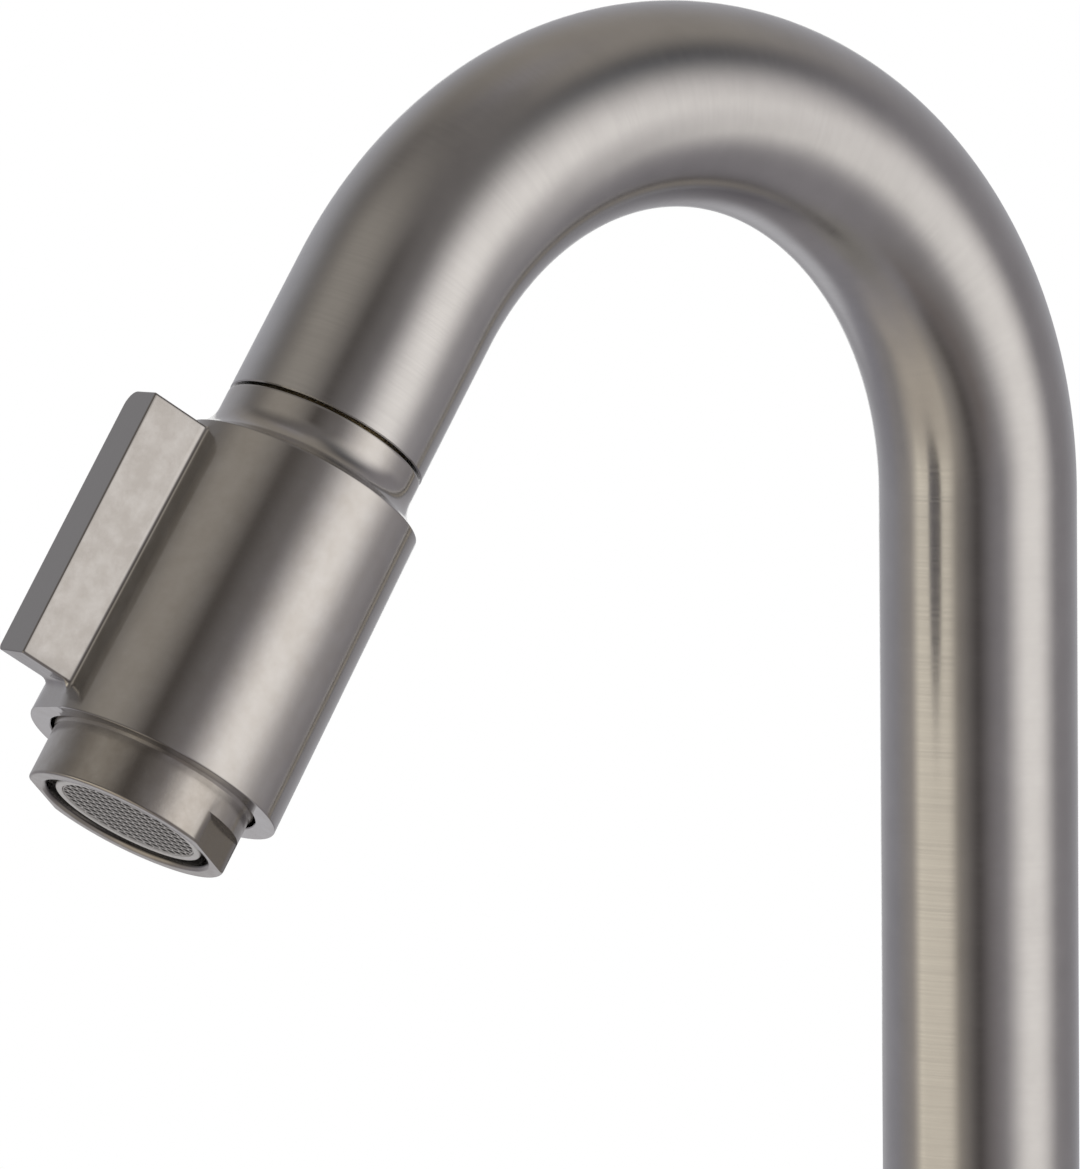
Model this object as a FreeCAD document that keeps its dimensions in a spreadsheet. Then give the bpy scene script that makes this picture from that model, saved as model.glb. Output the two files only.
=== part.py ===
import FreeCAD, Part
import math
import os
import Sketcher

# Gooseneck basin tap with its control at the tip of the spout.
# World frame: Z up, Z = 0 on top of the basin deck, the column on the Z axis, the spout towards -Y.
# Pieces at the tip are drawn about their own Z axis, which runs down the outlet from the tube's end.

os.makedirs("parts", exist_ok=True)

document = FreeCAD.newDocument("basin_tap")
sheet = document.addObject("Spreadsheet::Sheet", "sizes")


# Sizes that keep both their value and their formula


class Size:
    """A number in millimetres or degrees, with the sheet formula that gives it."""

    def __init__(self, value, formula):
        self.value = value
        self.formula = formula

    def __add__(self, other):
        other = as_size(other)
        return Size(self.value + other.value, f"({self.formula} + {other.formula})")

    def __sub__(self, other):
        other = as_size(other)
        return Size(self.value - other.value, f"({self.formula} - {other.formula})")

    def __mul__(self, other):
        other = as_size(other)
        return Size(self.value * other.value, f"({self.formula} * {other.formula})")

    def __truediv__(self, other):
        other = as_size(other)
        return Size(self.value / other.value, f"({self.formula} / {other.formula})")

    def __neg__(self):
        return Size(-self.value, f"(-1 * {self.formula})")


def as_size(number):
    if isinstance(number, Size):
        return number
    return Size(float(number), repr(float(number)))


def sine(angle):
    angle = as_size(angle)
    return Size(math.sin(math.radians(angle.value)), f"sin({angle.formula})")


def cosine(angle):
    angle = as_size(angle)
    return Size(math.cos(math.radians(angle.value)), f"cos({angle.formula})")


def square_root(number):
    return Size(math.sqrt(number.value), f"sqrt({number.formula})")


sheet_rows = []


def size(name, value, meaning):
    """Writes one driving dimension into the sheet and returns it."""
    sheet_rows.append(name)
    row = len(sheet_rows)
    sheet.set(f"A{row}", name)
    sheet.set(f"B{row}", str(value))
    sheet.set(f"C{row}", meaning)
    sheet.setAlias(f"B{row}", name)
    return Size(float(value), f"sizes.{name}")


def bind(item, path, number):
    item.setExpression(path, as_size(number).formula)


# Drawing helpers


class Bend:
    """An arc between two corners of an outline, bulging left or right of the way it is drawn."""

    def __init__(self, radius, side):
        self.radius = as_size(radius)
        self.clockwise = side == "left"

    def curve(self, start, end):
        chord = end - start
        left = FreeCAD.Vector(-chord.y, chord.x, 0).normalize()
        depth = self.radius.value - math.sqrt(self.radius.value ** 2 - (chord.Length / 2) ** 2)
        outward = left if self.clockwise else left.negative()
        return Part.Arc(start, (start + end) * 0.5 + outward * depth, end)


def draw_outline(sketch, items, closed=True):
    """Draws lines and arcs through the corners, every corner and radius tied to the sheet."""
    corners = []
    bends = {}
    for item in items:
        if isinstance(item, Bend):
            bends[len(corners) - 1] = item
        else:
            corners.append((as_size(item[0]), as_size(item[1])))
    points = [FreeCAD.Vector(across.value, along.value, 0) for across, along in corners]
    run_count = len(corners) if closed else len(corners) - 1
    ends = []
    for run in range(run_count):
        start = points[run]
        end = points[(run + 1) % len(points)]
        bend = bends.get(run)
        if bend is None:
            line = sketch.addGeometry(Part.LineSegment(start, end), False)
            ends.append((line, 1, 2))
        else:
            arc = sketch.addGeometry(bend.curve(start, end), False)
            ends.append((arc, 2, 1) if bend.clockwise else (arc, 1, 2))
            radius = sketch.addConstraint(Sketcher.Constraint("Radius", arc, bend.radius.value))
            bind(sketch, f"Constraints[{radius}]", bend.radius)
    for run in range(run_count if closed else run_count - 1):
        this_run = ends[run]
        next_run = ends[(run + 1) % run_count]
        joined = (this_run[0], this_run[2], next_run[0], next_run[1])
        sketch.addConstraint(Sketcher.Constraint("Coincident", *joined))
    tied = [(ends[run][0], ends[run][1], corners[run]) for run in range(run_count)]
    if not closed:
        tied.append((ends[-1][0], ends[-1][2], corners[-1]))
    for edge, vertex, corner in tied:
        for kind, number in zip(("DistanceX", "DistanceY"), corner):
            distance = sketch.addConstraint(Sketcher.Constraint(kind, -1, 1, edge, vertex, number.value))
            bind(sketch, f"Constraints[{distance}]", number)


def draw_circle(sketch, radius, centre=(0, 0)):
    across, along = as_size(centre[0]), as_size(centre[1])
    radius = as_size(radius)
    middle = FreeCAD.Vector(across.value, along.value, 0)
    circle = sketch.addGeometry(Part.Circle(middle, FreeCAD.Vector(0, 0, 1), radius.value), False)
    tied = sketch.addConstraint(Sketcher.Constraint("Radius", circle, radius.value))
    bind(sketch, f"Constraints[{tied}]", radius)
    for kind, number in (("DistanceX", across), ("DistanceY", along)):
        tied = sketch.addConstraint(Sketcher.Constraint(kind, -1, 1, circle, 3, number.value))
        bind(sketch, f"Constraints[{tied}]", number)


def new_body(name):
    body = document.addObject("PartDesign::Body", name)
    body.Label = name
    return body


def new_sketch(body, name, plane="XY_Plane", height=0):
    """A sketch on one of the body's own origin planes, lifted along the plane's normal."""
    sketch = body.newObject("Sketcher::SketchObject", f"{body.Name}_{name}")
    base = [feature for feature in body.Origin.OriginFeatures if feature.Role == plane][0]
    sketch.AttachmentSupport = [(base, "")]
    sketch.MapMode = "FlatFace"
    bind(sketch, "AttachmentOffset.Base.z", height)
    return sketch


def turned(name, profile):
    """A body turned about its Z axis from a profile of radius and height."""
    body = new_body(name)
    sketch = new_sketch(body, "profile", "XZ_Plane")
    draw_outline(sketch, profile)
    solid = body.newObject("PartDesign::Revolution", f"{name}_turned")
    solid.Profile = (sketch, [""])
    solid.ReferenceAxis = (sketch, ["V_Axis"])
    solid.Angle = 360
    document.recompute()
    return body


def ring(name, inner, outer, start, end):
    return turned(name, [(inner, start), (outer, start), (outer, end), (inner, end)])


def oring_outline(centre_radius, place):
    """An O-ring's round section, drawn with eight flats that touch the true circle."""
    corner_radius = oring_radius / cosine(22.5)
    outline = []
    for corner in range(8):
        across, along = spoke(45 * corner + 22.5, corner_radius)
        outline.append((centre_radius + across, place + along))
    return outline


def turned_oring(name, centre_radius, places):
    """One or more equal O-rings on the body's Z axis, in one node."""
    body = new_body(name)
    body.AllowCompound = True
    sketch = new_sketch(body, "profile", "XZ_Plane")
    for place in places:
        draw_outline(sketch, oring_outline(centre_radius, as_size(place)))
    solid = body.newObject("PartDesign::Revolution", f"{name}_turned")
    solid.Profile = (sketch, [""])
    solid.ReferenceAxis = (sketch, ["V_Axis"])
    solid.Angle = 360
    document.recompute()
    return body


def raise_pad(body, name, sketch, length):
    pad = body.newObject("PartDesign::Pad", f"{body.Name}_{name}")
    pad.Profile = sketch
    bind(pad, "Length", length)
    document.recompute()
    return pad


def cut_pocket(body, name, sketch, length):
    """Cuts along the sketch's normal and makes sure that it took something away."""
    before = body.Shape.Volume
    pocket = body.newObject("PartDesign::Pocket", f"{body.Name}_{name}")
    pocket.Profile = sketch
    pocket.Reversed = True
    bind(pocket, "Length", length)
    document.recompute()
    if body.Shape.Volume >= before:
        raise ValueError(f"{pocket.Name} cuts nothing")
    return pocket


def cut_across(body, name, sketch):
    """Cuts right through the body, both ways from the sketch."""
    before = body.Shape.Volume
    pocket = body.newObject("PartDesign::Pocket", f"{body.Name}_{name}")
    pocket.Profile = sketch
    pocket.Type = "ThroughAll"
    pocket.SideType = "Symmetric"
    document.recompute()
    if body.Shape.Volume >= before:
        raise ValueError(f"{pocket.Name} cuts nothing")
    return pocket


def repeat_round(body, feature, sketch, count, angle=360):
    pattern = body.newObject("PartDesign::PolarPattern", f"{feature.Name}_round")
    pattern.Originals = [feature]
    pattern.Axis = (sketch, ["N_Axis"])
    pattern.Angle = angle
    pattern.Occurrences = count
    body.Tip = pattern
    document.recompute()
    return pattern


def round_edges(body, name, radius, wanted):
    """Rounds the edges of the body that the test picks out."""
    base = body.Tip
    picked = [f"Edge{number}" for number, edge in enumerate(base.Shape.Edges, 1) if wanted(edge)]
    if not picked:
        raise ValueError(f"{body.Name} has no edge for {name}")
    fillet = body.newObject("PartDesign::Fillet", f"{body.Name}_{name}")
    fillet.Base = (base, picked)
    bind(fillet, "Radius", radius)
    document.recompute()


def spoke(angle, along, aside=0):
    """A point at a distance out along a direction and a distance square to it."""
    across = cosine(angle) * along - sine(angle) * aside
    upward = sine(angle) * along + cosine(angle) * aside
    return (across, upward)


def bar_outline(angle, inner, outer, width):
    """A straight-sided bar that runs outwards along one direction."""
    half = as_size(width) / 2
    corners = ((inner, -half), (outer, -half), (outer, half), (inner, half))
    return [spoke(angle, along, aside) for along, aside in corners]


def sector_outline(angle, inner, outer, half_angle):
    """A piece of a ring, centred on one direction."""
    first = as_size(angle) - half_angle
    last = as_size(angle) + half_angle
    return [
        spoke(first, inner),
        spoke(first, outer),
        Bend(outer, "right"),
        spoke(last, outer),
        spoke(last, inner),
        Bend(inner, "left"),
    ]


def hexagon_outline(across_flats):
    corner_radius = as_size(across_flats) / 2 / cosine(30)
    return [spoke(60 * corner, corner_radius) for corner in range(6)]


# Clearances shared by neighbouring pieces

braze_gap = size("braze_gap", 0.05, "radial gap of a brazed or screwed joint")
running_gap = size("running_gap", 0.05, "radial gap of a turning or sliding fit")
loose_gap = size("loose_gap", 0.3, "gap between pieces that must not touch")
oring_wire = size("oring_wire", 1.5, "section diameter of every O-ring")
groove_play = size("groove_play", 0.1, "play of an O-ring on each side of its groove")

oring_radius = oring_wire / 2
groove_half_width = oring_radius + groove_play


# Spout tube: one bent tube from the foot of the column to the tip

tube_radius = size("tube_radius", 11.0, "outer radius of the spout tube")
tube_wall = size("tube_wall", 1.5, "wall of the spout tube")
bend_radius = size("bend_radius", 44.0, "centre-line radius of the gooseneck bend")
arch_height = size("arch_height", 165.0, "height of the bend's centre above the deck")
tip_tilt = size("tip_tilt", 34.0, "degrees between the outlet and straight down")
tip_straight = size("tip_straight", 16.5, "straight tube between the bend and its end")
gasket_thickness = size("gasket_thickness", 1.5, "thickness of the gasket on the deck")
shoulder_height = size("shoulder_height", 3.0, "height of the tail's shoulder in the foot")

tube_bore = tube_radius - tube_wall
tube_foot = gasket_thickness + shoulder_height
bend_end_y = -(bend_radius + bend_radius * cosine(tip_tilt))
bend_end_z = arch_height + bend_radius * sine(tip_tilt)
tip_y = bend_end_y - tip_straight * sine(tip_tilt)
tip_z = bend_end_z - tip_straight * cosine(tip_tilt)

spout_tube = new_body("spout_tube")
tube_path = new_sketch(spout_tube, "path", "YZ_Plane")
draw_outline(
    tube_path,
    [
        (0, tube_foot),
        (0, arch_height),
        Bend(bend_radius, "right"),
        (bend_end_y, bend_end_z),
        (tip_y, tip_z),
    ],
    closed=False,
)
tube_section = new_sketch(spout_tube, "section", "XY_Plane", tube_foot)
draw_circle(tube_section, tube_radius)
draw_circle(tube_section, tube_bore)
tube_sweep = spout_tube.newObject("PartDesign::AdditivePipe", "spout_tube_sweep")
tube_sweep.Profile = tube_section
tube_sweep.Spine = (tube_path, [])
document.recompute()


# Foot: what holds the column to the deck and closes its lower end

shoulder_radius = size("shoulder_radius", 14.0, "radius of the tail's shoulder")
spigot_length = size("spigot_length", 14.0, "length of the tail inside the tube")
tail_radius = size("tail_radius", 10.48, "radius over the half-inch tail thread")
tail_length = size("tail_length", 50.0, "length of the tail below the deck")
connector_radius = size("connector_radius", 8.33, "radius over the three-eighths thread at the tail's end")
connector_wall = size("connector_wall", 2.08, "wall of the tail's narrower end")
connector_length = size("connector_length", 12.0, "length of the tail's narrower end")
tail_chamfer = size("tail_chamfer", 0.8, "lead-in of both threads on the tail")

tail_spigot = tube_bore - braze_gap
tail_bore = connector_radius - connector_wall
thread_end = connector_length - tail_length
tail_adapter = turned(
    "tail_adapter",
    [
        (tail_bore, -tail_length),
        (connector_radius - tail_chamfer, -tail_length),
        (connector_radius, tail_chamfer - tail_length),
        (connector_radius, thread_end),
        (tail_radius - tail_chamfer, thread_end),
        (tail_radius, thread_end + tail_chamfer),
        (tail_radius, gasket_thickness),
        (shoulder_radius, gasket_thickness),
        (shoulder_radius, tube_foot),
        (tail_spigot, tube_foot),
        (tail_spigot, tube_foot + spigot_length),
        (tail_bore, tube_foot + spigot_length),
    ],
)

collar_radius = size("collar_radius", 22.0, "outer radius of the foot collar")
collar_height = size("collar_height", 9.0, "height of the foot collar above the deck")
collar_lip = size("collar_lip", 1.2, "width of the collar's lip around the gasket")
collar_lift = size("collar_lift", 0.4, "height of the lip above the deck")
collar_slip = size("collar_slip", 0.15, "radial gap between collar and tube")
collar_ring_height = size("collar_ring_height", 6.9, "height of the collar's O-ring above the deck")
collar_edge = size("collar_edge", 0.8, "chamfer of the collar's top edge")

collar_bore = tube_radius + collar_slip
lip_radius = collar_radius - collar_lip
collar_groove = tube_radius + oring_wire
foot_collar = turned(
    "foot_collar",
    [
        (shoulder_radius + loose_gap, gasket_thickness),
        (lip_radius, gasket_thickness),
        (lip_radius, collar_lift),
        (collar_radius, collar_lift),
        (collar_radius, collar_height - collar_edge),
        (collar_radius - collar_edge, collar_height),
        (collar_bore, collar_height),
        (collar_bore, collar_ring_height + groove_half_width),
        (collar_groove, collar_ring_height + groove_half_width),
        (collar_groove, collar_ring_height - groove_half_width),
        (collar_bore, collar_ring_height - groove_half_width),
        (collar_bore, tube_foot),
        (shoulder_radius + loose_gap, tube_foot),
    ],
)

foot_oring = turned_oring("foot_oring", tube_radius + oring_radius, [collar_ring_height])

tail_play = size("tail_play", 0.3, "radial gap between the tail and what it passes through")
gasket_play = size("gasket_play", 0.2, "radial gap between gasket and lip")
deck_gasket = ring("deck_gasket", tail_radius + tail_play, lip_radius - gasket_play, 0, gasket_thickness)

deck_thickness = size("deck_thickness", 12.0, "thickness of the deck that the tap clamps")
washer_radius = size("washer_radius", 17.0, "outer radius of both clamp washers")
rubber_thickness = size("rubber_thickness", 2.0, "thickness of the rubber clamp washer")
steel_thickness = size("steel_thickness", 1.5, "thickness of the steel clamp washer")
nut_across_flats = size("nut_across_flats", 27.0, "size of the back nut across its flats")
nut_height = size("nut_height", 8.0, "height of the back nut")

rubber_bottom = -(deck_thickness + rubber_thickness)
steel_bottom = rubber_bottom - steel_thickness
nut_bottom = steel_bottom - nut_height
washer_bore = tail_radius + tail_play
clamp_washer_rubber = ring("clamp_washer_rubber", washer_bore, washer_radius, rubber_bottom, -deck_thickness)
clamp_washer_steel = ring("clamp_washer_steel", washer_bore, washer_radius, steel_bottom, rubber_bottom)

nut_edge = size("nut_edge", 0.8, "height of the back nut's turned edge")
back_nut = new_body("back_nut")
nut_section = new_sketch(back_nut, "section", "XY_Plane", nut_bottom)
draw_outline(nut_section, hexagon_outline(nut_across_flats))
draw_circle(nut_section, tail_radius + braze_gap)
raise_pad(back_nut, "blank", nut_section, nut_height)

# The nut's corners are turned off at both faces, as on bar stock that is parted on a lathe.
nut_corner_radius = nut_across_flats / 2 / cosine(30)
nut_face_radius = nut_across_flats / 2
nut_clear = nut_corner_radius + nut_edge
nut_profile = new_sketch(back_nut, "corner_turning", "XZ_Plane")
for face, inward in ((nut_bottom, nut_edge), (nut_bottom + nut_height, -nut_edge)):
    draw_outline(
        nut_profile,
        [
            (nut_face_radius, face),
            (nut_clear, face),
            (nut_clear, face + inward),
            (nut_corner_radius, face + inward),
        ],
    )
nut_turning = back_nut.newObject("PartDesign::Groove", "back_nut_corners")
nut_turning.Profile = (nut_profile, [""])
nut_turning.ReferenceAxis = (nut_profile, ["V_Axis"])
nut_turning.Angle = 360
document.recompute()


# Placing pieces on the outlet's axis


def place_at_tip(item, along=0, out=0, turn=0):
    """Puts a piece's Z axis on the outlet's axis, or square to it on the underside."""
    along = as_size(along)
    out = as_size(out)
    item.Placement = FreeCAD.Placement(FreeCAD.Vector(0, 0, 0), FreeCAD.Rotation(FreeCAD.Vector(1, 0, 0), 1))
    bind(item, "Placement.Rotation.Angle", as_size(180 + turn) - tip_tilt)
    bind(item, "Placement.Base.y", tip_y - along * sine(tip_tilt) + out * cosine(tip_tilt))
    bind(item, "Placement.Base.z", tip_z - along * cosine(tip_tilt) - out * sine(tip_tilt))


# Tip socket: brazed into the tube's end, takes the valve

socket_inset = size("socket_inset", 1.5, "depth of the socket's face inside the tube's end")
socket_length = size("socket_length", 14.5, "length of the socket")
socket_wall = size("socket_wall", 1.9, "wall of the socket")

socket_bore = tube_bore - braze_gap - socket_wall
shank_radius = socket_bore - braze_gap
socket_start = -(socket_inset + socket_length)
tip_socket = ring("tip_socket", socket_bore, tube_bore - braze_gap, socket_start, -socket_inset)
place_at_tip(tip_socket)


# Valve body: screwed into the tip socket, holds the ceramic discs

seam_gap = size("seam_gap", 0.4, "gap between the tube's end and the turning sleeve")
neck_wall = size("neck_wall", 1.4, "wall of the sleeve's neck")
bush_wall = size("bush_wall", 0.9, "wall of the plastic bush in the neck")
shank_length = size("shank_length", 11.5, "length of the valve's screwed shank")
shank_chamfer = size("shank_chamfer", 0.6, "lead-in of the shank")
shank_ring_depth = size("shank_ring_depth", 1.5, "distance from the shank's root to its O-ring")
waterway_radius = size("waterway_radius", 4.5, "radius of the waterway into the valve")
barrel_top = size("barrel_top", 7.2, "where the valve's barrel starts, below the tube's end")
barrel_length = size("barrel_length", 19.8, "length of the valve's barrel")
barrel_wall = size("barrel_wall", 2.0, "wall of the valve's barrel")
barrel_gap = size("barrel_gap", 0.4, "radial gap between the valve's barrel and the sleeve")
aerator_gap = size("aerator_gap", 0.6, "visible radial gap between sleeve and aerator")
housing_radius = size("housing_radius", 11.0, "outer radius of the aerator's housing")
chamber_floor = size("chamber_floor", 1.8, "thickness of the chamber's floor")

neck_bore = tube_radius - neck_wall
bush_outer = neck_bore - running_gap
bush_inner = bush_outer - bush_wall
valve_neck = bush_inner - braze_gap
sleeve_bore = housing_radius + aerator_gap
barrel_radius = sleeve_bore - barrel_gap
chamber_radius = barrel_radius - barrel_wall
barrel_end = barrel_top + barrel_length
chamber_top = barrel_top + chamber_floor
shank_end = -(socket_inset + shank_length)
shank_ring_place = -(socket_inset + shank_ring_depth)
shank_groove = socket_bore - oring_wire
cartridge_body = turned(
    "cartridge_body",
    [
        (waterway_radius, shank_end),
        (shank_radius - shank_chamfer, shank_end),
        (shank_radius, shank_end + shank_chamfer),
        (shank_radius, shank_ring_place - groove_half_width),
        (shank_groove, shank_ring_place - groove_half_width),
        (shank_groove, shank_ring_place + groove_half_width),
        (shank_radius, shank_ring_place + groove_half_width),
        (shank_radius, -socket_inset),
        (valve_neck, -socket_inset),
        (valve_neck, barrel_top),
        (barrel_radius, barrel_top),
        (barrel_radius, barrel_end),
        (chamber_radius, barrel_end),
        (chamber_radius, chamber_top),
        (waterway_radius, chamber_top),
    ],
)
place_at_tip(cartridge_body)

body_oring = turned_oring("body_oring", socket_bore - oring_radius, [shank_ring_place])
place_at_tip(body_oring)

bush_clear = size("bush_clear", 0.5, "distance from the tube's end to the bush")
neck_bush = ring("neck_bush", bush_inner, bush_outer, bush_clear, barrel_top)
place_at_tip(neck_bush)


# Ceramic valve: a fixed disc, a turning disc over it and their seal

seat_thickness = size("seat_thickness", 1.6, "thickness of the seal under the fixed disc")
seat_width = size("seat_width", 3.3, "width of the seal under the fixed disc")
disc_thickness = size("disc_thickness", 3.5, "thickness of each ceramic disc")
disc_play = size("disc_play", 0.1, "radial gap around the fixed disc")
turning_disc_play = size("turning_disc_play", 0.3, "radial gap around the turning disc")
port_inner = size("port_inner", 1.4, "inner radius of each port")
port_margin = size("port_margin", 0.2, "distance from a port's outer edge to the waterway's wall")
port_half_angle = size("port_half_angle", 42.0, "half of the angle that each port spans")
disc_film = size("disc_film", 0.02, "gap between the two lapped faces")
dog_angle = size("dog_angle", 45.0, "direction of the spindle's dogs when the tap is closed")
dog_half_angle = size("dog_half_angle", 9.0, "half of the angle that each dog spans")
dog_height = size("dog_height", 2.2, "height of each dog")
dog_play = size("dog_play", 1.0, "degrees of play on each side of a dog")
dog_depth = size("dog_depth", 1.2, "radial depth of each dog")
stop_ring_wall = size("stop_ring_wall", 0.45, "wall of the stop ring")
lobe_play = size("lobe_play", 0.1, "radial gap between a stop lobe and the stop ring")

port_outer = waterway_radius - port_margin
fixed_disc_top = chamber_top + seat_thickness
fixed_disc_end = fixed_disc_top + disc_thickness
turning_disc_top = fixed_disc_end + disc_film
turning_disc_end = turning_disc_top + disc_thickness
turning_disc_radius = chamber_radius - turning_disc_play
stop_outer = chamber_radius - braze_gap
stop_inner = stop_outer - stop_ring_wall
lobe_radius = stop_inner - lobe_play
dog_inner = lobe_radius - dog_depth
seat_seal = ring("seat_seal", waterway_radius, waterway_radius + seat_width, chamber_top, fixed_disc_top)
place_at_tip(seat_seal)


def ported_disc(name, radius, top, first_port):
    """A ceramic disc with two opposite ports, which pass water where two discs' ports meet."""
    body = new_body(name)
    blank = new_sketch(body, "blank", "XY_Plane", top)
    draw_circle(blank, radius)
    raise_pad(body, "disc", blank, disc_thickness)
    port = new_sketch(body, "port", "XY_Plane", top)
    draw_outline(port, sector_outline(first_port, port_inner, port_outer, port_half_angle))
    repeat_round(body, cut_pocket(body, "port_cut", port, disc_thickness), port, 2)
    place_at_tip(body)
    return body


fixed_disc = ported_disc("fixed_disc", chamber_radius - disc_play, fixed_disc_top, 0)
turning_disc = ported_disc("turning_disc", turning_disc_radius, turning_disc_top, 90)
dog_notch = new_sketch(turning_disc, "dog_notch", "XY_Plane", turning_disc_end - dog_height - running_gap)
notch_outline = sector_outline(
    dog_angle, dog_inner - running_gap, turning_disc_radius + running_gap, dog_half_angle + dog_play
)
draw_outline(dog_notch, notch_outline)
notch_cut = cut_pocket(turning_disc, "notch_cut", dog_notch, dog_height + running_gap)
repeat_round(turning_disc, notch_cut, dog_notch, 2)


# Spindle: hollow, drives the turning disc and carries the outlet's water

lobe_height = size("lobe_height", 0.8, "height of each stop lobe over the spindle's flange")
flange_step = size("flange_step", 0.8, "width of the flange around the spindle's stem")
flange_thickness = size("flange_thickness", 3.0, "thickness of the spindle's flange")
lobe_half_angle = size("lobe_half_angle", 22.0, "half of the angle that each stop lobe spans")
stem_wall = size("stem_wall", 3.0, "wall of the spindle's stem")
washer_thickness = size("washer_thickness", 0.95, "thickness of the thrust washer")
first_ring_depth = size("first_ring_depth", 1.6, "distance from the gland's top to the first O-ring")
ring_spacing = size("ring_spacing", 2.2, "distance between the spindle's two O-rings")
nipple_clear = size("nipple_clear", 0.5, "gap between the valve's barrel and the outlet nipple")
nipple_ring_depth = size("nipple_ring_depth", 1.3, "distance from the nipple's top to its O-ring")
nipple_socket_depth = size("nipple_socket_depth", 2.5, "depth of the round part of the nipple's socket")
hex_step = size("hex_step", 1.5, "distance from the stem's surface to the hexagon's flats")
hex_length = size("hex_length", 4.5, "length of the spindle's hexagon")
hex_play = size("hex_play", 0.05, "play of the hexagon on each side")

flange_radius = lobe_radius - lobe_height
stem_radius = flange_radius - flange_step
stem_bore = stem_radius - stem_wall
flange_top = turning_disc_end
flange_end = flange_top + flange_thickness
washer_top = flange_end + running_gap
gland_top = washer_top + washer_thickness
gland_bore = stem_radius + running_gap
nipple_top = barrel_end + nipple_clear
ring_places = [gland_top + first_ring_depth, gland_top + first_ring_depth + ring_spacing]
nipple_ring_place = nipple_top + nipple_ring_depth
hex_top = nipple_top + nipple_socket_depth
hex_across_flats = (stem_radius - hex_step) * 2
stem_ring_centre = gland_bore - oring_radius
stem_groove = gland_bore - oring_wire

stem_profile = [(stem_bore, flange_top), (flange_radius, flange_top), (flange_radius, flange_end)]
stem_profile.append((stem_radius, flange_end))
for place in ring_places + [nipple_ring_place]:
    stem_profile += [
        (stem_radius, place - groove_half_width),
        (stem_groove, place - groove_half_width),
        (stem_groove, place + groove_half_width),
        (stem_radius, place + groove_half_width),
    ]
stem_profile += [(stem_radius, hex_top), (stem_bore, hex_top)]
spindle = turned("spindle", stem_profile)
lobe = new_sketch(spindle, "lobe", "XY_Plane", flange_top)
draw_outline(lobe, sector_outline(dog_angle, stem_radius, lobe_radius, lobe_half_angle))
repeat_round(spindle, raise_pad(spindle, "lobe_pad", lobe, flange_thickness), lobe, 2)
dog = new_sketch(spindle, "dog", "XY_Plane", flange_top - dog_height)
draw_outline(dog, sector_outline(dog_angle, dog_inner, lobe_radius, dog_half_angle))
repeat_round(spindle, raise_pad(spindle, "dog_pad", dog, dog_height), dog, 2)
hexagon = new_sketch(spindle, "hexagon", "XY_Plane", hex_top)
draw_outline(hexagon, hexagon_outline(hex_across_flats))
draw_circle(hexagon, stem_bore)
raise_pad(spindle, "hexagon_pad", hexagon, hex_length)
place_at_tip(spindle)

# Both O-rings of the gland share one node, as a pair of separate rings.
spindle_orings = turned_oring("spindle_orings", stem_ring_centre, ring_places)
place_at_tip(spindle_orings)
nipple_oring = turned_oring("nipple_oring", stem_ring_centre, [nipple_ring_place])
place_at_tip(nipple_oring)


# Stops, thrust washer and gland: they close the valve's chamber

stop_half_angle = size("stop_half_angle", 22.5, "half of the angle that each stop lug spans")
stop_reach = size("stop_reach", 0.1, "gap between a stop lug and the spindle's flange")
stop_clear = size("stop_clear", 0.2, "gap between the turning disc and the stop ring")
gland_slot_width = size("gland_slot_width", 2.4, "width of the gland's spanner slot")
gland_slot_depth = size("gland_slot_depth", 1.2, "depth of the gland's spanner slot")

stop_top = turning_disc_end + stop_clear
stop_height = washer_top - stop_top
stop_ring = ring("stop_ring", stop_inner, stop_outer, stop_top, washer_top)
stop_lug = new_sketch(stop_ring, "lug", "XY_Plane", stop_top)
lug_root = stop_inner + stop_ring_wall / 2
draw_outline(stop_lug, sector_outline(0, flange_radius + stop_reach, lug_root, stop_half_angle))
repeat_round(stop_ring, raise_pad(stop_ring, "lug_pad", stop_lug, stop_height), stop_lug, 2)
place_at_tip(stop_ring)

washer_inner = stem_radius + disc_play
thrust_washer = ring("thrust_washer", washer_inner, chamber_radius - disc_play, washer_top, gland_top)
place_at_tip(thrust_washer)

gland_nut = ring("gland_nut", gland_bore, chamber_radius - braze_gap, gland_top, barrel_end)
gland_slot = new_sketch(gland_nut, "spanner_slot", "XY_Plane", barrel_end - gland_slot_depth)
draw_outline(gland_slot, bar_outline(0, -chamber_radius, chamber_radius, gland_slot_width))
cut_pocket(gland_nut, "slot_cut", gland_slot, gland_slot_depth)
place_at_tip(gland_nut)


# Outlet nipple: joins spindle and sleeve, and carries the aerator on its thread

nipple_flange = size("nipple_flange", 4.7, "thickness of the nipple's flange")
thread_wall = size("thread_wall", 1.2, "wall of the aerator's housing at its thread")
thread_length = size("thread_length", 7.8, "length of the nipple's thread")
nipple_wall = size("nipple_wall", 1.65, "wall of the nipple around the aerator")
nipple_undercut = size("nipple_undercut", 0.6, "depth of the thread's undercut")
nipple_undercut_width = size("nipple_undercut_width", 1.0, "width of the thread's undercut")
nipple_lead = size("nipple_lead", 0.5, "lead-in of the nipple's thread")
nipple_funnel = size("nipple_funnel", 1.6, "length of the funnel inside the nipple")
nipple_chamber = size("nipple_chamber", 4.0, "length of the wide bore inside the nipple")

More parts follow.
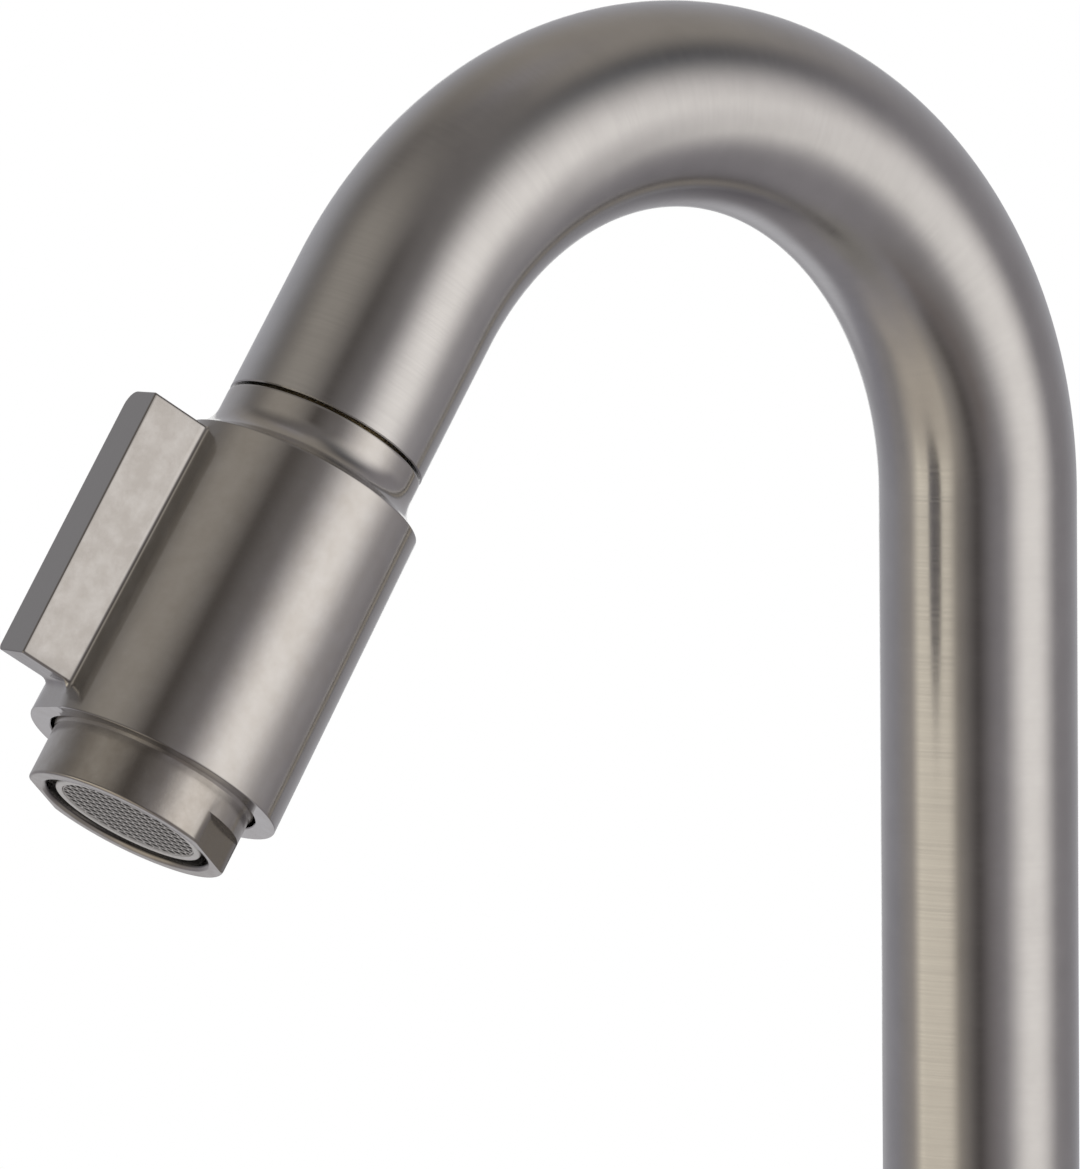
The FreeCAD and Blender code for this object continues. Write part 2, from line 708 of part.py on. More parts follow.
nipple_thread = housing_radius - thread_wall - running_gap
nipple_flange_radius = sleeve_bore - running_gap
nipple_flange_end = nipple_top + nipple_flange
nipple_end = nipple_flange_end + nipple_undercut_width + thread_length
nipple_bore = nipple_thread - nipple_wall
undercut_radius = nipple_thread - nipple_undercut
outlet_nipple = turned(
    "outlet_nipple",
    [
        (stem_radius + running_gap, nipple_top),
        (nipple_flange_radius, nipple_top),
        (nipple_flange_radius, nipple_flange_end),
        (undercut_radius, nipple_flange_end),
        (undercut_radius, nipple_flange_end + nipple_undercut_width),
        (nipple_thread, nipple_flange_end + nipple_undercut_width),
        (nipple_thread, nipple_end - nipple_lead),
        (nipple_thread - nipple_lead, nipple_end),
        (nipple_bore, nipple_end),
        (nipple_bore, nipple_end - nipple_chamber),
        (waterway_radius, nipple_end - nipple_chamber - nipple_funnel),
        (waterway_radius, hex_top),
        (stem_radius + running_gap, hex_top),
    ],
)
hex_socket = new_sketch(outlet_nipple, "hex_socket", "XY_Plane", hex_top)
draw_outline(hex_socket, hexagon_outline(hex_across_flats + hex_play * 2))
cut_pocket(outlet_nipple, "hex_cut", hex_socket, hex_length + hex_play)


# Turning sleeve with its lever: one casting that the hand turns

sleeve_wall = size("sleeve_wall", 1.8, "wall of the turning sleeve at its shoulder")
sleeve_flare = size("sleeve_flare", 0.45, "how much wider the sleeve's rim is than its shoulder, in radius")
sleeve_end = size("sleeve_end", 40.0, "distance from the tube's end to the sleeve's lower rim")
shoulder_place = size("shoulder_place", 6.1, "distance from the tube's end to the sleeve's sharp shoulder")
neck_sweep = size("neck_sweep", 4.0, "radius of the hollow curve between neck and shoulder")
sleeve_edge = size("sleeve_edge", 0.2, "chamfer of the sleeve's lower rim")

sleeve_radius = sleeve_bore + sleeve_wall
rim_radius = sleeve_radius + sleeve_flare
neck_overhang = neck_sweep - (sleeve_radius - tube_radius)
neck_straight_end = shoulder_place - square_root(neck_sweep * neck_sweep - neck_overhang * neck_overhang)
step_place = barrel_top - loose_gap
turn_sleeve = turned(
    "turn_sleeve",
    [
        (neck_bore, seam_gap),
        (tube_radius, seam_gap),
        (tube_radius, neck_straight_end),
        Bend(neck_sweep, "right"),
        (sleeve_radius, shoulder_place),
        (rim_radius, sleeve_end - sleeve_edge),
        (rim_radius - sleeve_edge, sleeve_end),
        (sleeve_bore, sleeve_end),
        (sleeve_bore, step_place),
        (neck_bore, step_place),
    ],
)

lever_angle = size("lever_angle", 100.0, "direction of the lever about the outlet when the tap is closed")
lever_thickness = size("lever_thickness", 5.5, "thickness of the lever")
lever_height = size("lever_height", 6.65, "distance that the lever stands out of the sleeve's shoulder")
lever_drop = size("lever_drop", 0.9, "distance from the sleeve's shoulder to the lever's upper end")
lever_length = size("lever_length", 30.4, "length of the lever along the sleeve")
lever_corner_round = size("lever_corner_round", 1.5, "rounding of the lever's far upper corner")
lever_edge_round = size("lever_edge_round", 0.3, "rounding of the lever's near upper edge and its long edges")
under_flat_depth = size("under_flat_depth", 0.3, "depth of the flat on the sleeve below the lever")

lever_root = sleeve_radius - sleeve_wall / 2
lever_reach = sleeve_radius + lever_height
lever_top = shoulder_place + lever_drop
lever_section = new_sketch(turn_sleeve, "lever", "XY_Plane", lever_top)
draw_outline(lever_section, bar_outline(lever_angle, lever_root, lever_reach, lever_thickness))
raise_pad(turn_sleeve, "lever_pad", lever_section, lever_length)


def lever_place(point):
    """How far a point lies out along the lever and aside of its middle."""
    angle = math.radians(lever_angle.value)
    out = point.x * math.cos(angle) + point.y * math.sin(angle)
    aside = -point.x * math.sin(angle) + point.y * math.cos(angle)
    return out, aside


def is_lever_upper_edge(edge, side):
    """Picks the upper edge on one side: plus one is the lever's far side, minus one its near side."""
    if abs(edge.BoundBox.ZMin - lever_top.value) > 0.01 or edge.BoundBox.ZLength > 0.01:
        return False
    out, aside = lever_place(edge.valueAt((edge.FirstParameter + edge.LastParameter) / 2))
    return out > sleeve_radius.value and abs(aside - side * lever_thickness.value / 2) < 0.01


def is_lever_far_corner(edge):
    return is_lever_upper_edge(edge, 1)


def is_lever_small_edge(edge):
    if is_lever_upper_edge(edge, -1):
        return True
    out, aside = lever_place(edge.valueAt((edge.FirstParameter + edge.LastParameter) / 2))
    at_corner = abs(out - lever_reach.value) < 0.01 and abs(abs(aside) - lever_thickness.value / 2) < 0.01
    return at_corner and edge.BoundBox.ZLength > 1


round_edges(turn_sleeve, "lever_corner_round", lever_corner_round, is_lever_far_corner)
round_edges(turn_sleeve, "lever_edge_round", lever_edge_round, is_lever_small_edge)

# The mill that finished the lever's lower end left a shallow flat from there to the rim.
under_flat = new_sketch(turn_sleeve, "under_flat", "XY_Plane", lever_top + lever_length)
under_flat_inner = rim_radius - under_flat_depth
draw_outline(under_flat, bar_outline(lever_angle, under_flat_inner, lever_reach, lever_thickness * 2))
cut_pocket(turn_sleeve, "under_flat_cut", under_flat, sleeve_end - lever_top - lever_length)

# A grub screw through the sleeve's underside holds it on the nipple.
grub_radius = size("grub_radius", 1.5, "radius of the grub screw")
grub_drop = size("grub_drop", 2.3, "distance from the nipple's top to the grub screw")
grub_dimple = size("grub_dimple", 0.9, "depth of the grub screw's seat in the nipple")
grub_sink = size("grub_sink", 0.35, "depth of the grub screw below the sleeve's surface")
grub_hex = size("grub_hex", 1.5, "size of the grub screw's socket across its flats")
grub_hex_depth = size("grub_hex_depth", 1.2, "depth of the grub screw's socket")
grub_point = size("grub_point", 0.5, "height of the grub screw's cone point")

grub_place = nipple_top + grub_drop
grub_seat = nipple_flange_radius - grub_dimple
grub_length = sleeve_radius - grub_sink - grub_seat
grub_hole = new_sketch(turn_sleeve, "grub_hole", "XZ_Plane")
draw_circle(grub_hole, grub_radius + braze_gap, (0, grub_place))
cut_pocket(turn_sleeve, "grub_bore", grub_hole, rim_radius + loose_gap)
place_at_tip(turn_sleeve)

grub_seat_sketch = new_sketch(outlet_nipple, "grub_seat", "XZ_Plane", grub_seat)
draw_circle(grub_seat_sketch, grub_radius + braze_gap, (0, grub_place))
cut_pocket(outlet_nipple, "grub_seat_cut", grub_seat_sketch, grub_dimple + running_gap)
place_at_tip(outlet_nipple)

sleeve_grub_screw = turned(
    "sleeve_grub_screw",
    [
        (0, 0),
        (grub_radius - grub_point, 0),
        (grub_radius, grub_point),
        (grub_radius, grub_length),
        (0, grub_length),
    ],
)
grub_socket = new_sketch(sleeve_grub_screw, "socket", "XY_Plane", grub_length - grub_hex_depth)
draw_outline(grub_socket, hexagon_outline(grub_hex))
cut_pocket(sleeve_grub_screw, "socket_cut", grub_socket, grub_hex_depth)
place_at_tip(sleeve_grub_screw, grub_place, grub_seat, 90)


# Aerator insert: seal, cage, sieve, jet plate and outlet grid

seal_thickness = size("seal_thickness", 1.2, "thickness of the aerator's flat seal")
housing_wall = size("housing_wall", 1.55, "wall of the aerator's housing below its thread")
insert_play = size("insert_play", 0.1, "radial gap between insert and housing")
cage_flange_thickness = size("cage_flange_thickness", 0.7, "thickness of the cage's flange")
cage_play = size("cage_play", 0.2, "radial gap between cage and nipple")
cage_height = size("cage_height", 2.6, "height of the cage inside the nipple")
cage_wall = size("cage_wall", 0.6, "wall of the cage")
cage_ledge_width = size("cage_ledge_width", 0.7, "width of the ledge under the jet plate")
cage_ledge_depth = size("cage_ledge_depth", 2.2, "distance from the cage's top to that ledge")
cage_ledge_thickness = size("cage_ledge_thickness", 0.8, "thickness of that ledge")
outlet_slot = size("outlet_slot", 0.9, "width of the air slot between cage and housing")
lip_width = size("lip_width", 1.9, "width of the housing's lower rim")
outlet_ring_wall = size("outlet_ring_wall", 0.76, "wall of the cage's lower ring")
lip_thickness = size("lip_thickness", 1.56, "thickness of the housing's inner lip")
outlet_recess = size("outlet_recess", 0.5, "depth of the cage's lower ring inside the rim")
rib_height = size("rib_height", 1.65, "height of each rib that stands on the lip")
rib_count = 8
rib_width = size("rib_width", 1.0, "width of each rib")
window_width = size("window_width", 2.6, "width of each air window")
window_height = size("window_height", 1.0, "height of each air window")

seal_end = nipple_end + seal_thickness
flange_bottom = seal_end + cage_flange_thickness
housing_bore = housing_radius - housing_wall
insert_radius = housing_bore - insert_play
lip_bore = housing_radius - lip_width
cage_ring_radius = lip_bore - outlet_slot
outlet_radius = cage_ring_radius - outlet_ring_wall
rib_end = flange_bottom + rib_height
lip_place = rib_end + running_gap
housing_end = lip_place + lip_thickness
cage_end = housing_end - outlet_recess
cage_top = nipple_end - cage_height
cage_radius = nipple_bore - cage_play
cage_bore = cage_radius - cage_wall
cage_ledge = cage_bore - cage_ledge_width
cage_ledge_place = cage_top + cage_ledge_depth

aerator_seal = ring("aerator_seal", cage_radius + disc_play, insert_radius, nipple_end, seal_end)
place_at_tip(aerator_seal)

aerator_cage = turned(
    "aerator_cage",
    [
        (cage_bore, cage_top),
        (cage_radius, cage_top),
        (cage_radius, seal_end),
        (insert_radius, seal_end),
        (insert_radius, flange_bottom),
        (cage_ring_radius, flange_bottom),
        (cage_ring_radius, cage_end),
        (outlet_radius, cage_end),
        (outlet_radius, cage_ledge_place + cage_ledge_thickness),
        (cage_ledge, cage_ledge_place + cage_ledge_thickness),
        (cage_ledge, cage_ledge_place),
        (cage_bore, cage_ledge_place),
    ],
)
rib_step = 360 / rib_count
rib = new_sketch(aerator_cage, "rib", "XY_Plane", flange_bottom)
draw_outline(rib, bar_outline(rib_step / 2, outlet_radius + outlet_ring_wall / 2, insert_radius, rib_width))
repeat_round(aerator_cage, raise_pad(aerator_cage, "rib_pad", rib, rib_height), rib, rib_count)
window = new_sketch(aerator_cage, "window", "XZ_Plane")
window_half = window_width / 2
window_end = flange_bottom + window_height
draw_outline(
    window,
    [
        (-window_half, flange_bottom),
        (window_half, flange_bottom),
        (window_half, window_end),
        (-window_half, window_end),
    ],
)
window_cut = cut_across(aerator_cage, "window_cut", window)
half_turn = 180
repeat_round(aerator_cage, window_cut, rib, rib_count // 2, half_turn - rib_step)
place_at_tip(aerator_cage)

plate_thickness = size("plate_thickness", 1.0, "thickness of the jet plate")
jet_radius = size("jet_radius", 0.45, "radius of each jet")
outer_jet_count = 12
inner_jet_count = 6
outer_jet_margin = size("outer_jet_margin", 1.9, "distance from the plate's edge to the outer jets")
inner_jet_radius = size("inner_jet_radius", 3.0, "radius of the inner ring of jets")

plate_top = cage_ledge_place - plate_thickness
plate_radius = cage_bore - braze_gap
jet_plate = new_body("jet_plate")
plate_blank = new_sketch(jet_plate, "blank", "XY_Plane", plate_top)
draw_circle(plate_blank, plate_radius)
raise_pad(jet_plate, "plate", plate_blank, plate_thickness)
outer_jets = (outer_jet_count, plate_radius - outer_jet_margin)
inner_jets = (inner_jet_count, inner_jet_radius)
for jet_count, jet_ring in (outer_jets, inner_jets):
    jet = new_sketch(jet_plate, f"jet_{jet_count}", "XY_Plane", plate_top)
    draw_circle(jet, jet_radius, (jet_ring, 0))
    jet_cut = cut_pocket(jet_plate, f"jet_{jet_count}_cut", jet, plate_thickness)
    repeat_round(jet_plate, jet_cut, jet, jet_count)
place_at_tip(jet_plate)

sieve_rise = size("sieve_rise", 1.7, "height of the sieve's cone")
sieve_rim = size("sieve_rim", 0.6, "height of the sieve's rim")
sieve_wall = size("sieve_wall", 0.4, "thickness of the sieve")
sieve_crown_radius = size("sieve_crown_radius", 3.0, "radius of the sieve's flat crown")

sieve_shoulder = plate_top - sieve_rim
sieve_crown = sieve_shoulder - sieve_rise
inlet_sieve = turned(
    "inlet_sieve",
    [
        (plate_radius - sieve_wall, plate_top),
        (plate_radius, plate_top),
        (plate_radius, sieve_shoulder),
        (sieve_crown_radius, sieve_crown),
        (0, sieve_crown),
        (0, sieve_crown + sieve_wall),
        (sieve_crown_radius, sieve_crown + sieve_wall),
        (plate_radius - sieve_wall, sieve_shoulder + sieve_wall),
    ],
)
place_at_tip(inlet_sieve)

# The grid is one holed face, drawn out along the outlet.
grid_recess = size("grid_recess", 0.15, "depth of the grid inside the cage's lower ring")
grid_thickness = size("grid_thickness", 1.0, "thickness of the outlet grid")
cell_pitch = size("cell_pitch", 1.12, "distance between the centres of neighbouring cells")
cell_web = size("cell_web", 0.22, "thickness of the web between two cells")
grid_rim = size("grid_rim", 0.3, "least width of solid rim around the cells")


def grid_cells(rim_radius, pitch, cell_radius):
    """Centres of the cells that lie whole inside the rim, on a triangular lattice."""
    reach = rim_radius - cell_radius
    row_height = pitch * cosine(30).value
    rows = int(reach / row_height)
    centres = []
    for row in range(-rows, rows + 1):
        shift = pitch / 2 if row % 2 else 0
        columns = int(reach / pitch) + 1
        for column in range(-columns, columns + 1):
            centre = FreeCAD.Vector(column * pitch + shift, row * row_height, 0)
            if centre.Length <= reach:
                centres.append(centre)
    return centres


def make_outlet_grid():
    rim_radius = (outlet_radius - braze_gap).value
    cell_radius = (cell_pitch - cell_web).value / 2 / cosine(30).value
    rim_circle = Part.Circle(FreeCAD.Vector(0, 0, 0), FreeCAD.Vector(0, 0, 1), rim_radius)
    wires = [Part.Wire([rim_circle.toShape()])]
    for centre in grid_cells(rim_radius - grid_rim.value, cell_pitch.value, cell_radius):
        corners = []
        for corner in range(7):
            angle = math.radians(60 * corner + 30)
            corners.append(centre + FreeCAD.Vector(math.cos(angle), math.sin(angle), 0) * cell_radius)
        wires.append(Part.makePolygon(corners))
    face = Part.Face(wires, "Part::FaceMakerBullseye")
    return face.extrude(FreeCAD.Vector(0, 0, grid_thickness.value))


document.recompute()
outlet_grid = document.addObject("Part::Feature", "outlet_grid")
outlet_grid.Label = "outlet_grid"
outlet_grid.Shape = make_outlet_grid()
place_at_tip(outlet_grid, cage_end - grid_recess - grid_thickness)


# Aerator housing: screws onto the nipple, with two wrench flats at its lower end

housing_overlap = size("housing_overlap", 7.0, "length of the housing that covers the nipple")
thread_grip = size("thread_grip", 4.5, "length of the housing's thread on the nipple")
entry_gap = size("entry_gap", 0.45, "radial gap of the plain bore above the housing's thread")
thread_runout = size("thread_runout", 0.6, "length of the thread's run-out past the nipple")
housing_chamfer = size("housing_chamfer", 0.3, "chamfer of the housing's lower rim")
flat_angle = size("flat_angle", -30.0, "direction that the first wrench flat faces, about the outlet")
flat_depth = size("flat_depth", 1.0, "depth of each wrench flat")
flat_height = size("flat_height", 3.4, "height of the wrench flats")

housing_top = nipple_end - housing_overlap
thread_start = nipple_end - thread_grip
entry_bore = nipple_thread + entry_gap
aerator_housing = turned(
    "aerator_housing",
    [
        (entry_bore, housing_top),
        (housing_radius, housing_top),
        (housing_radius, housing_end - housing_chamfer),
        (housing_radius - housing_chamfer, housing_end),
        (lip_bore, housing_end),
        (lip_bore, lip_place),
        (housing_bore, lip_place),
        (housing_bore, nipple_end + thread_runout),
        (nipple_thread + running_gap, nipple_end + thread_runout),
        (nipple_thread + running_gap, thread_start),
        (entry_bore, thread_start),
    ],
)
flat = new_sketch(aerator_housing, "flat", "XY_Plane", housing_end - flat_height)
flat_inner = housing_radius - flat_depth
draw_outline(flat, bar_outline(flat_angle, flat_inner, housing_radius + loose_gap, housing_radius * 2))
repeat_round(aerator_housing, cut_pocket(aerator_housing, "flat_cut", flat, flat_height), flat, 2)
place_at_tip(aerator_housing)

document.recompute()


# Every sub-part goes to a file of its own

nodes = [
    spout_tube,
    tail_adapter,
    foot_collar,
    foot_oring,
    deck_gasket,
    clamp_washer_rubber,
    clamp_washer_steel,
    back_nut,
    tip_socket,
    cartridge_body,
    body_oring,
    neck_bush,
    seat_seal,
    fixed_disc,
    turning_disc,
    spindle,
    spindle_orings,
    nipple_oring,
    stop_ring,
    thrust_washer,
    gland_nut,
    outlet_nipple,
    turn_sleeve,
    sleeve_grub_screw,
    aerator_seal,
    aerator_cage,
    jet_plate,
    inlet_sieve,
    outlet_grid,
    aerator_housing,
]

for item in document.Objects:
    if "Invalid" in item.State or "Error" in item.State:
        raise ValueError(f"{item.Name} failed to build")

for node in nodes:
    if node.Shape.isNull() or not node.Shape.isValid():
        raise ValueError(f"{node.Label} has no valid shape")
    node.Shape.exportStep(f"parts/{node.Label}.step")
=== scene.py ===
import math

import bmesh
import bpy
from mathutils import Euler, Matrix, Vector


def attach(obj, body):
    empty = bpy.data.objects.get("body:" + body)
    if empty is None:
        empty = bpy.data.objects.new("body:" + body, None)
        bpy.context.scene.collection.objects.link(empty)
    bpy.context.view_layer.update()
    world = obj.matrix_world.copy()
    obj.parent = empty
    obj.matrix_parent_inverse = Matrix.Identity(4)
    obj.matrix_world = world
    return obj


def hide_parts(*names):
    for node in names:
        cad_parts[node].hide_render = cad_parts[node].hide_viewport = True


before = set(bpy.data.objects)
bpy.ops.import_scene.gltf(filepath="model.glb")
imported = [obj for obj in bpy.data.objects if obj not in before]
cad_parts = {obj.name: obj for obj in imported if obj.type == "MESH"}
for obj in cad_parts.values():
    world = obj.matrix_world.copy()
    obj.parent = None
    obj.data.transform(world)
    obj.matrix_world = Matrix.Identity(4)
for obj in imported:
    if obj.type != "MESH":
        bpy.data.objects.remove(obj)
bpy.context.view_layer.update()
MM = 0.001


# Spout tube.
# The real piece is one seamless stainless tube, bent on a mandrel into a gooseneck and brushed around
# its girth. It carries everything: the tail is brazed in its foot, the tip socket in its outlet end.

TUBE_RADIUS = 11.0 * MM
TUBE_BORE = 9.5 * MM
BEND_RADIUS = 44.0 * MM
ARCH_HEIGHT = 165.0 * MM
TIP_TILT = math.radians(34.0)
TIP_STRAIGHT = 16.5 * MM
TUBE_FOOT = 4.5 * MM
TUBE_EDGE = 0.12 * MM
TUBE_COLUMNS = 144
COLUMN_ROWS = 41
BEND_ROWS = 132
BEND_ANGLE = math.pi - TIP_TILT
SHARP_ANGLE = math.radians(32.0)
SAME_PLACE = 1e-7
MAP_SCALE = 10.0

STEEL_COLOUR = (0.62, 0.62, 0.62)
STEEL_ROUGHNESS = 0.2
STEEL_ANISOTROPY = 0.6
STREAK_DEPTH = 0.0018 * MM


def add_node(tree, kind, inputs=None, **settings):
    """Adds a shader node with its settings, and links or sets each named input."""
    node = tree.nodes.new(kind)
    for name, value in settings.items():
        setattr(node, name, value)
    for name, value in (inputs or {}).items():
        if isinstance(value, bpy.types.NodeSocket):
            tree.links.new(value, node.inputs[name])
        else:
            node.inputs[name].default_value = value
    return node


def maths(tree, operation, first, second=None, **settings):
    """Works out a value from one or two others."""
    values = {0: first} if second is None else {0: first, 1: second}
    return add_node(tree, "ShaderNodeMath", values, operation=operation, **settings).outputs[0]


def remap(tree, value, low, high, start=0.25, end=0.75, **settings):
    """Turns a value between start and end, such as a noise, into one between low and high."""
    places = {"Value": value, "From Min": start, "From Max": end, "To Min": low, "To Max": high}
    return add_node(tree, "ShaderNodeMapRange", places, **settings).outputs[0]


def noise(tree, place, scale, detail, roughness):
    """A soft noise; more detail and roughness make it finer and harsher."""
    looks = {"Vector": place, "Scale": scale, "Detail": detail, "Roughness": roughness}
    return add_node(tree, "ShaderNodeTexNoise", looks).outputs["Fac"]


def streaks(tree, place, along, across, roughness):
    """Noise drawn out along the strokes of a brush: the third part of place runs across them."""
    stretch = add_node(tree, "ShaderNodeCombineXYZ", {"X": along, "Y": along, "Z": across}).outputs[0]
    drawn = add_node(tree, "ShaderNodeVectorMath", {0: place, 1: stretch}, operation="MULTIPLY").outputs[0]
    return noise(tree, drawn, scale=1.0, detail=3.0, roughness=roughness)


def mixed(tree, share, first, second):
    """A colour between two others, each from another node or given as red, green and blue."""
    colours = [(*colour, 1.0) if isinstance(colour, tuple) else colour for colour in (first, second)]
    inputs = {"Factor": share, "A": colours[0], "B": colours[1]}
    return add_node(tree, "ShaderNodeMix", inputs, data_type="RGBA").outputs["Result"]


def scaled_colour(colour, factor):
    """The same colour, darker or lighter."""
    return tuple(part * factor for part in colour)


def uneven_roughness(tree, roughness, slow, low, high, fine, waver):
    """Roughness that drifts with a slow noise between two shares of itself, and wavers with a fine one."""
    drift = remap(tree, slow, roughness * low, roughness * high)
    return maths(tree, "ADD", drift, remap(tree, fine, -waver * roughness, waver * roughness))


def bumped(tree, height, depth, **others):
    """The surface's direction, where each unit of a height raises it by a real depth."""
    inputs = {"Height": height, "Strength": 1.0, "Distance": depth, **others}
    return add_node(tree, "ShaderNodeBump", inputs).outputs[0]


def own_place(tree, place=None):
    """Where a point lies in its piece's own frame: kept in a new mesh, worked out for a CAD solid."""
    if place is None:
        return add_node(tree, "ShaderNodeAttribute", attribute_name="grain").outputs["Vector"]
    whole = add_node(tree, "ShaderNodeTexCoord").outputs["Object"]
    inputs = {"Vector": whole, "Location": place.to_translation(), "Rotation": place.to_euler()}
    return add_node(tree, "ShaderNodeMapping", inputs, vector_type="TEXTURE").outputs[0]


def turning_direction(tree):
    """The direction in which a brush runs around the piece."""
    return add_node(tree, "ShaderNodeTangent", direction_type="UV_MAP", uv_map="turning").outputs[0]


def new_group(name, inputs):
    """Starts a shader node group and its inputs; one that starts at None is a place."""
    group = bpy.data.node_groups.new(name, "ShaderNodeTree")
    for label, start in inputs.items():
        kind = "NodeSocketVector" if start is None else "NodeSocketFloat"
        socket = group.interface.new_socket(label, in_out="INPUT", socket_type=kind)
        if start is not None:
            socket.default_value = start
    return group, add_node(group, "NodeGroupInput").outputs


def close_group(group, results):
    """Sends each result out of a node group under its name."""
    for label in results:
        group.interface.new_socket(label, in_out="OUTPUT", socket_type="NodeSocketFloat")
    add_node(group, "NodeGroupOutput", results)
    return group


def new_material(name):
    """Starts a material whose node tree is still empty."""
    material = bpy.data.materials.new(name)
    material.use_nodes = True
    material.node_tree.nodes.clear()
    return material, material.node_tree


def surface(tree, colour, roughness, normal, **others):
    """Ends a material with its shader."""
    inputs = {"Base Color": colour, "Roughness": roughness, "Normal": normal, **others}
    shader = add_node(tree, "ShaderNodeBsdfPrincipled", inputs)
    add_node(tree, "ShaderNodeOutputMaterial", {"Surface": shader.outputs[0]})


def brushed_grain_group():
    """Fine streaks along the strokes of a brush, and a slow cloud."""
    group, entry = new_group("brushed grain", {"Vector": None, "Along": 60.0, "Across": 5000.0})
    streak = streaks(group, entry["Vector"], entry["Along"], entry["Across"], roughness=0.65)
    cloud = noise(group, entry["Vector"], scale=180.0, detail=4.0, roughness=0.6)
    return close_group(group, {"Streaks": streak, "Cloud": cloud})


BRUSHED_GRAIN = brushed_grain_group()


def brushed_metal(name, colour, roughness, anisotropy, streak_depth, tone=0.05):
    """Brushed metal: streaks in its normal and roughness, and a slow change of tone."""
    material, tree = new_material(name)
    inputs = {"Vector": own_place(tree), "Along": 60.0, "Across": 5000.0}
    grain = add_node(tree, "ShaderNodeGroup", inputs, node_tree=BRUSHED_GRAIN).outputs
    cloud = remap(tree, grain["Cloud"], 0.0, 1.0)
    shade = mixed(tree, cloud, scaled_colour(colour, 1.0 - tone), scaled_colour(colour, 1.0 + tone))
    rough = uneven_roughness(tree, roughness, grain["Cloud"], 0.92, 1.08, grain["Streaks"], 0.25)
    normal = bumped(tree, grain["Streaks"], streak_depth)
    direction = turning_direction(tree)
    surface(tree, shade, rough, normal, Metallic=1.0, Anisotropic=anisotropy, Tangent=direction)
    return material


def turning_place(run, turn):
    """A point of the turning map: how far along the piece, and what share of a turn around it."""
    return run * MAP_SCALE, turn / (2 * math.pi)


def build_piece(name, vertices, faces, grain, turning):
    """Makes a closed mesh with outward faces, smooth but for its sharp edges.

    Grain holds where each point lies in the piece's own frame, and turning its place in the turning map.
    """
    mesh = bpy.data.meshes.new(name)
    mesh.from_pydata(vertices, [], faces)
    attribute = mesh.attributes.new("grain", "FLOAT_VECTOR", "POINT")
    for number, place in enumerate(grain):
        attribute.data[number].vector = place
    layer = mesh.uv_layers.new(name="turning")
    for loop in mesh.loops:
        layer.data[loop.index].uv = turning[loop.vertex_index]
    sculpt = bmesh.new()
    sculpt.from_mesh(mesh)
    bmesh.ops.remove_doubles(sculpt, verts=sculpt.verts, dist=SAME_PLACE)
    bmesh.ops.recalc_face_normals(sculpt, faces=sculpt.faces)
    sculpt.to_mesh(mesh)
    sculpt.free()
    mesh.polygons.foreach_set("use_smooth", [True] * len(mesh.polygons))
    mesh.set_sharp_from_angle(angle=SHARP_ANGLE)
    piece = bpy.data.objects.new(name, mesh)
    bpy.context.scene.collection.objects.link(piece)
    return piece


def bridge(first, second):
    """Quads between two closed rings of the same count."""
    pairs = [(number, (number + 1) % len(first)) for number in range(len(first))]
    return [(first[here], first[there], second[there], second[here]) for here, there in pairs]


def ring_faces(rows, columns):
    """Quads of rings that follow one another and close around to the first."""
    rings = [range(row * columns, (row + 1) * columns) for row in range(rows)]
    return [face for row in range(rows) for face in bridge(rings[row], rings[(row + 1) % rows])]


def fit_piece(piece, material, body, node):
    """Gives a piece its finish and puts it in its solid's place, on that solid's body."""
    piece.data.materials.append(material)
    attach(piece, body)
    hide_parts(node)


def tube_line():
    """Points, directions and lengths along the tube's centre line."""
    length = ARCH_HEIGHT - TUBE_FOOT
    heights = [0.0, TUBE_EDGE] + [length * (step / COLUMN_ROWS) for step in range(1, COLUMN_ROWS)]
    stations = [(Vector((0, 0, TUBE_FOOT + height)), 0.0, height) for height in heights]
    for step in range(BEND_ROWS + 1):
        angle = BEND_ANGLE * step / BEND_ROWS
        back = BEND_RADIUS * (math.cos(angle) - 1)
        up = ARCH_HEIGHT + BEND_RADIUS * math.sin(angle)
        stations.append((Vector((0, back, up)), angle, length + BEND_RADIUS * angle))
    centre, angle, length = stations[-1]
    down = Vector((0, -math.sin(angle), math.cos(angle)))
    for share in (0.25, 0.5, 0.75, 1.0 - TUBE_EDGE / TIP_STRAIGHT, 1.0):
        stations.append((centre + down * TIP_STRAIGHT * share, angle, length + TIP_STRAIGHT * share))
    return stations


def make_spout_tube():
    """The tube as rings along its line, up the outside and back down the bore."""
    stations = tube_line()
    last = len(stations) - 1
    rings = [(number, TUBE_RADIUS) for number in range(last + 1)]
    rings[0] = (0, TUBE_RADIUS - TUBE_EDGE)
    rings[last] = (last, TUBE_RADIUS - TUBE_EDGE)
    rings += [(number, TUBE_BORE) for number in range(last, -1, -1)]
    vertices, grain, turning = [], [], []
    for number, radius in rings:
        centre, angle, length = stations[number]
        outward = Vector((0, math.cos(angle), math.sin(angle)))
        for column in range(TUBE_COLUMNS):
            turn = 2 * math.pi * column / TUBE_COLUMNS
            aside = radius * math.cos(turn)
            out = radius * math.sin(turn)
            vertices.append(centre + Vector((aside, 0, 0)) + outward * out)
            grain.append((aside, out, length))
            turning.append(turning_place(length, turn))
    faces = ring_faces(len(rings), TUBE_COLUMNS)
    return build_piece("spout_tube_brushed", vertices, faces, grain, turning)


brushed_steel = brushed_metal(
    "brushed stainless steel", STEEL_COLOUR, STEEL_ROUGHNESS, STEEL_ANISOTROPY, STREAK_DEPTH
)
fit_piece(make_spout_tube(), brushed_steel, "spout", "spout_tube")


# Tail, clamp and foot collar.
# The tail is turned brass with a half-inch thread for the back nut and a narrower thread for the hose.
# The collar is turned stainless steel, slid over the column and held down by its O-ring.

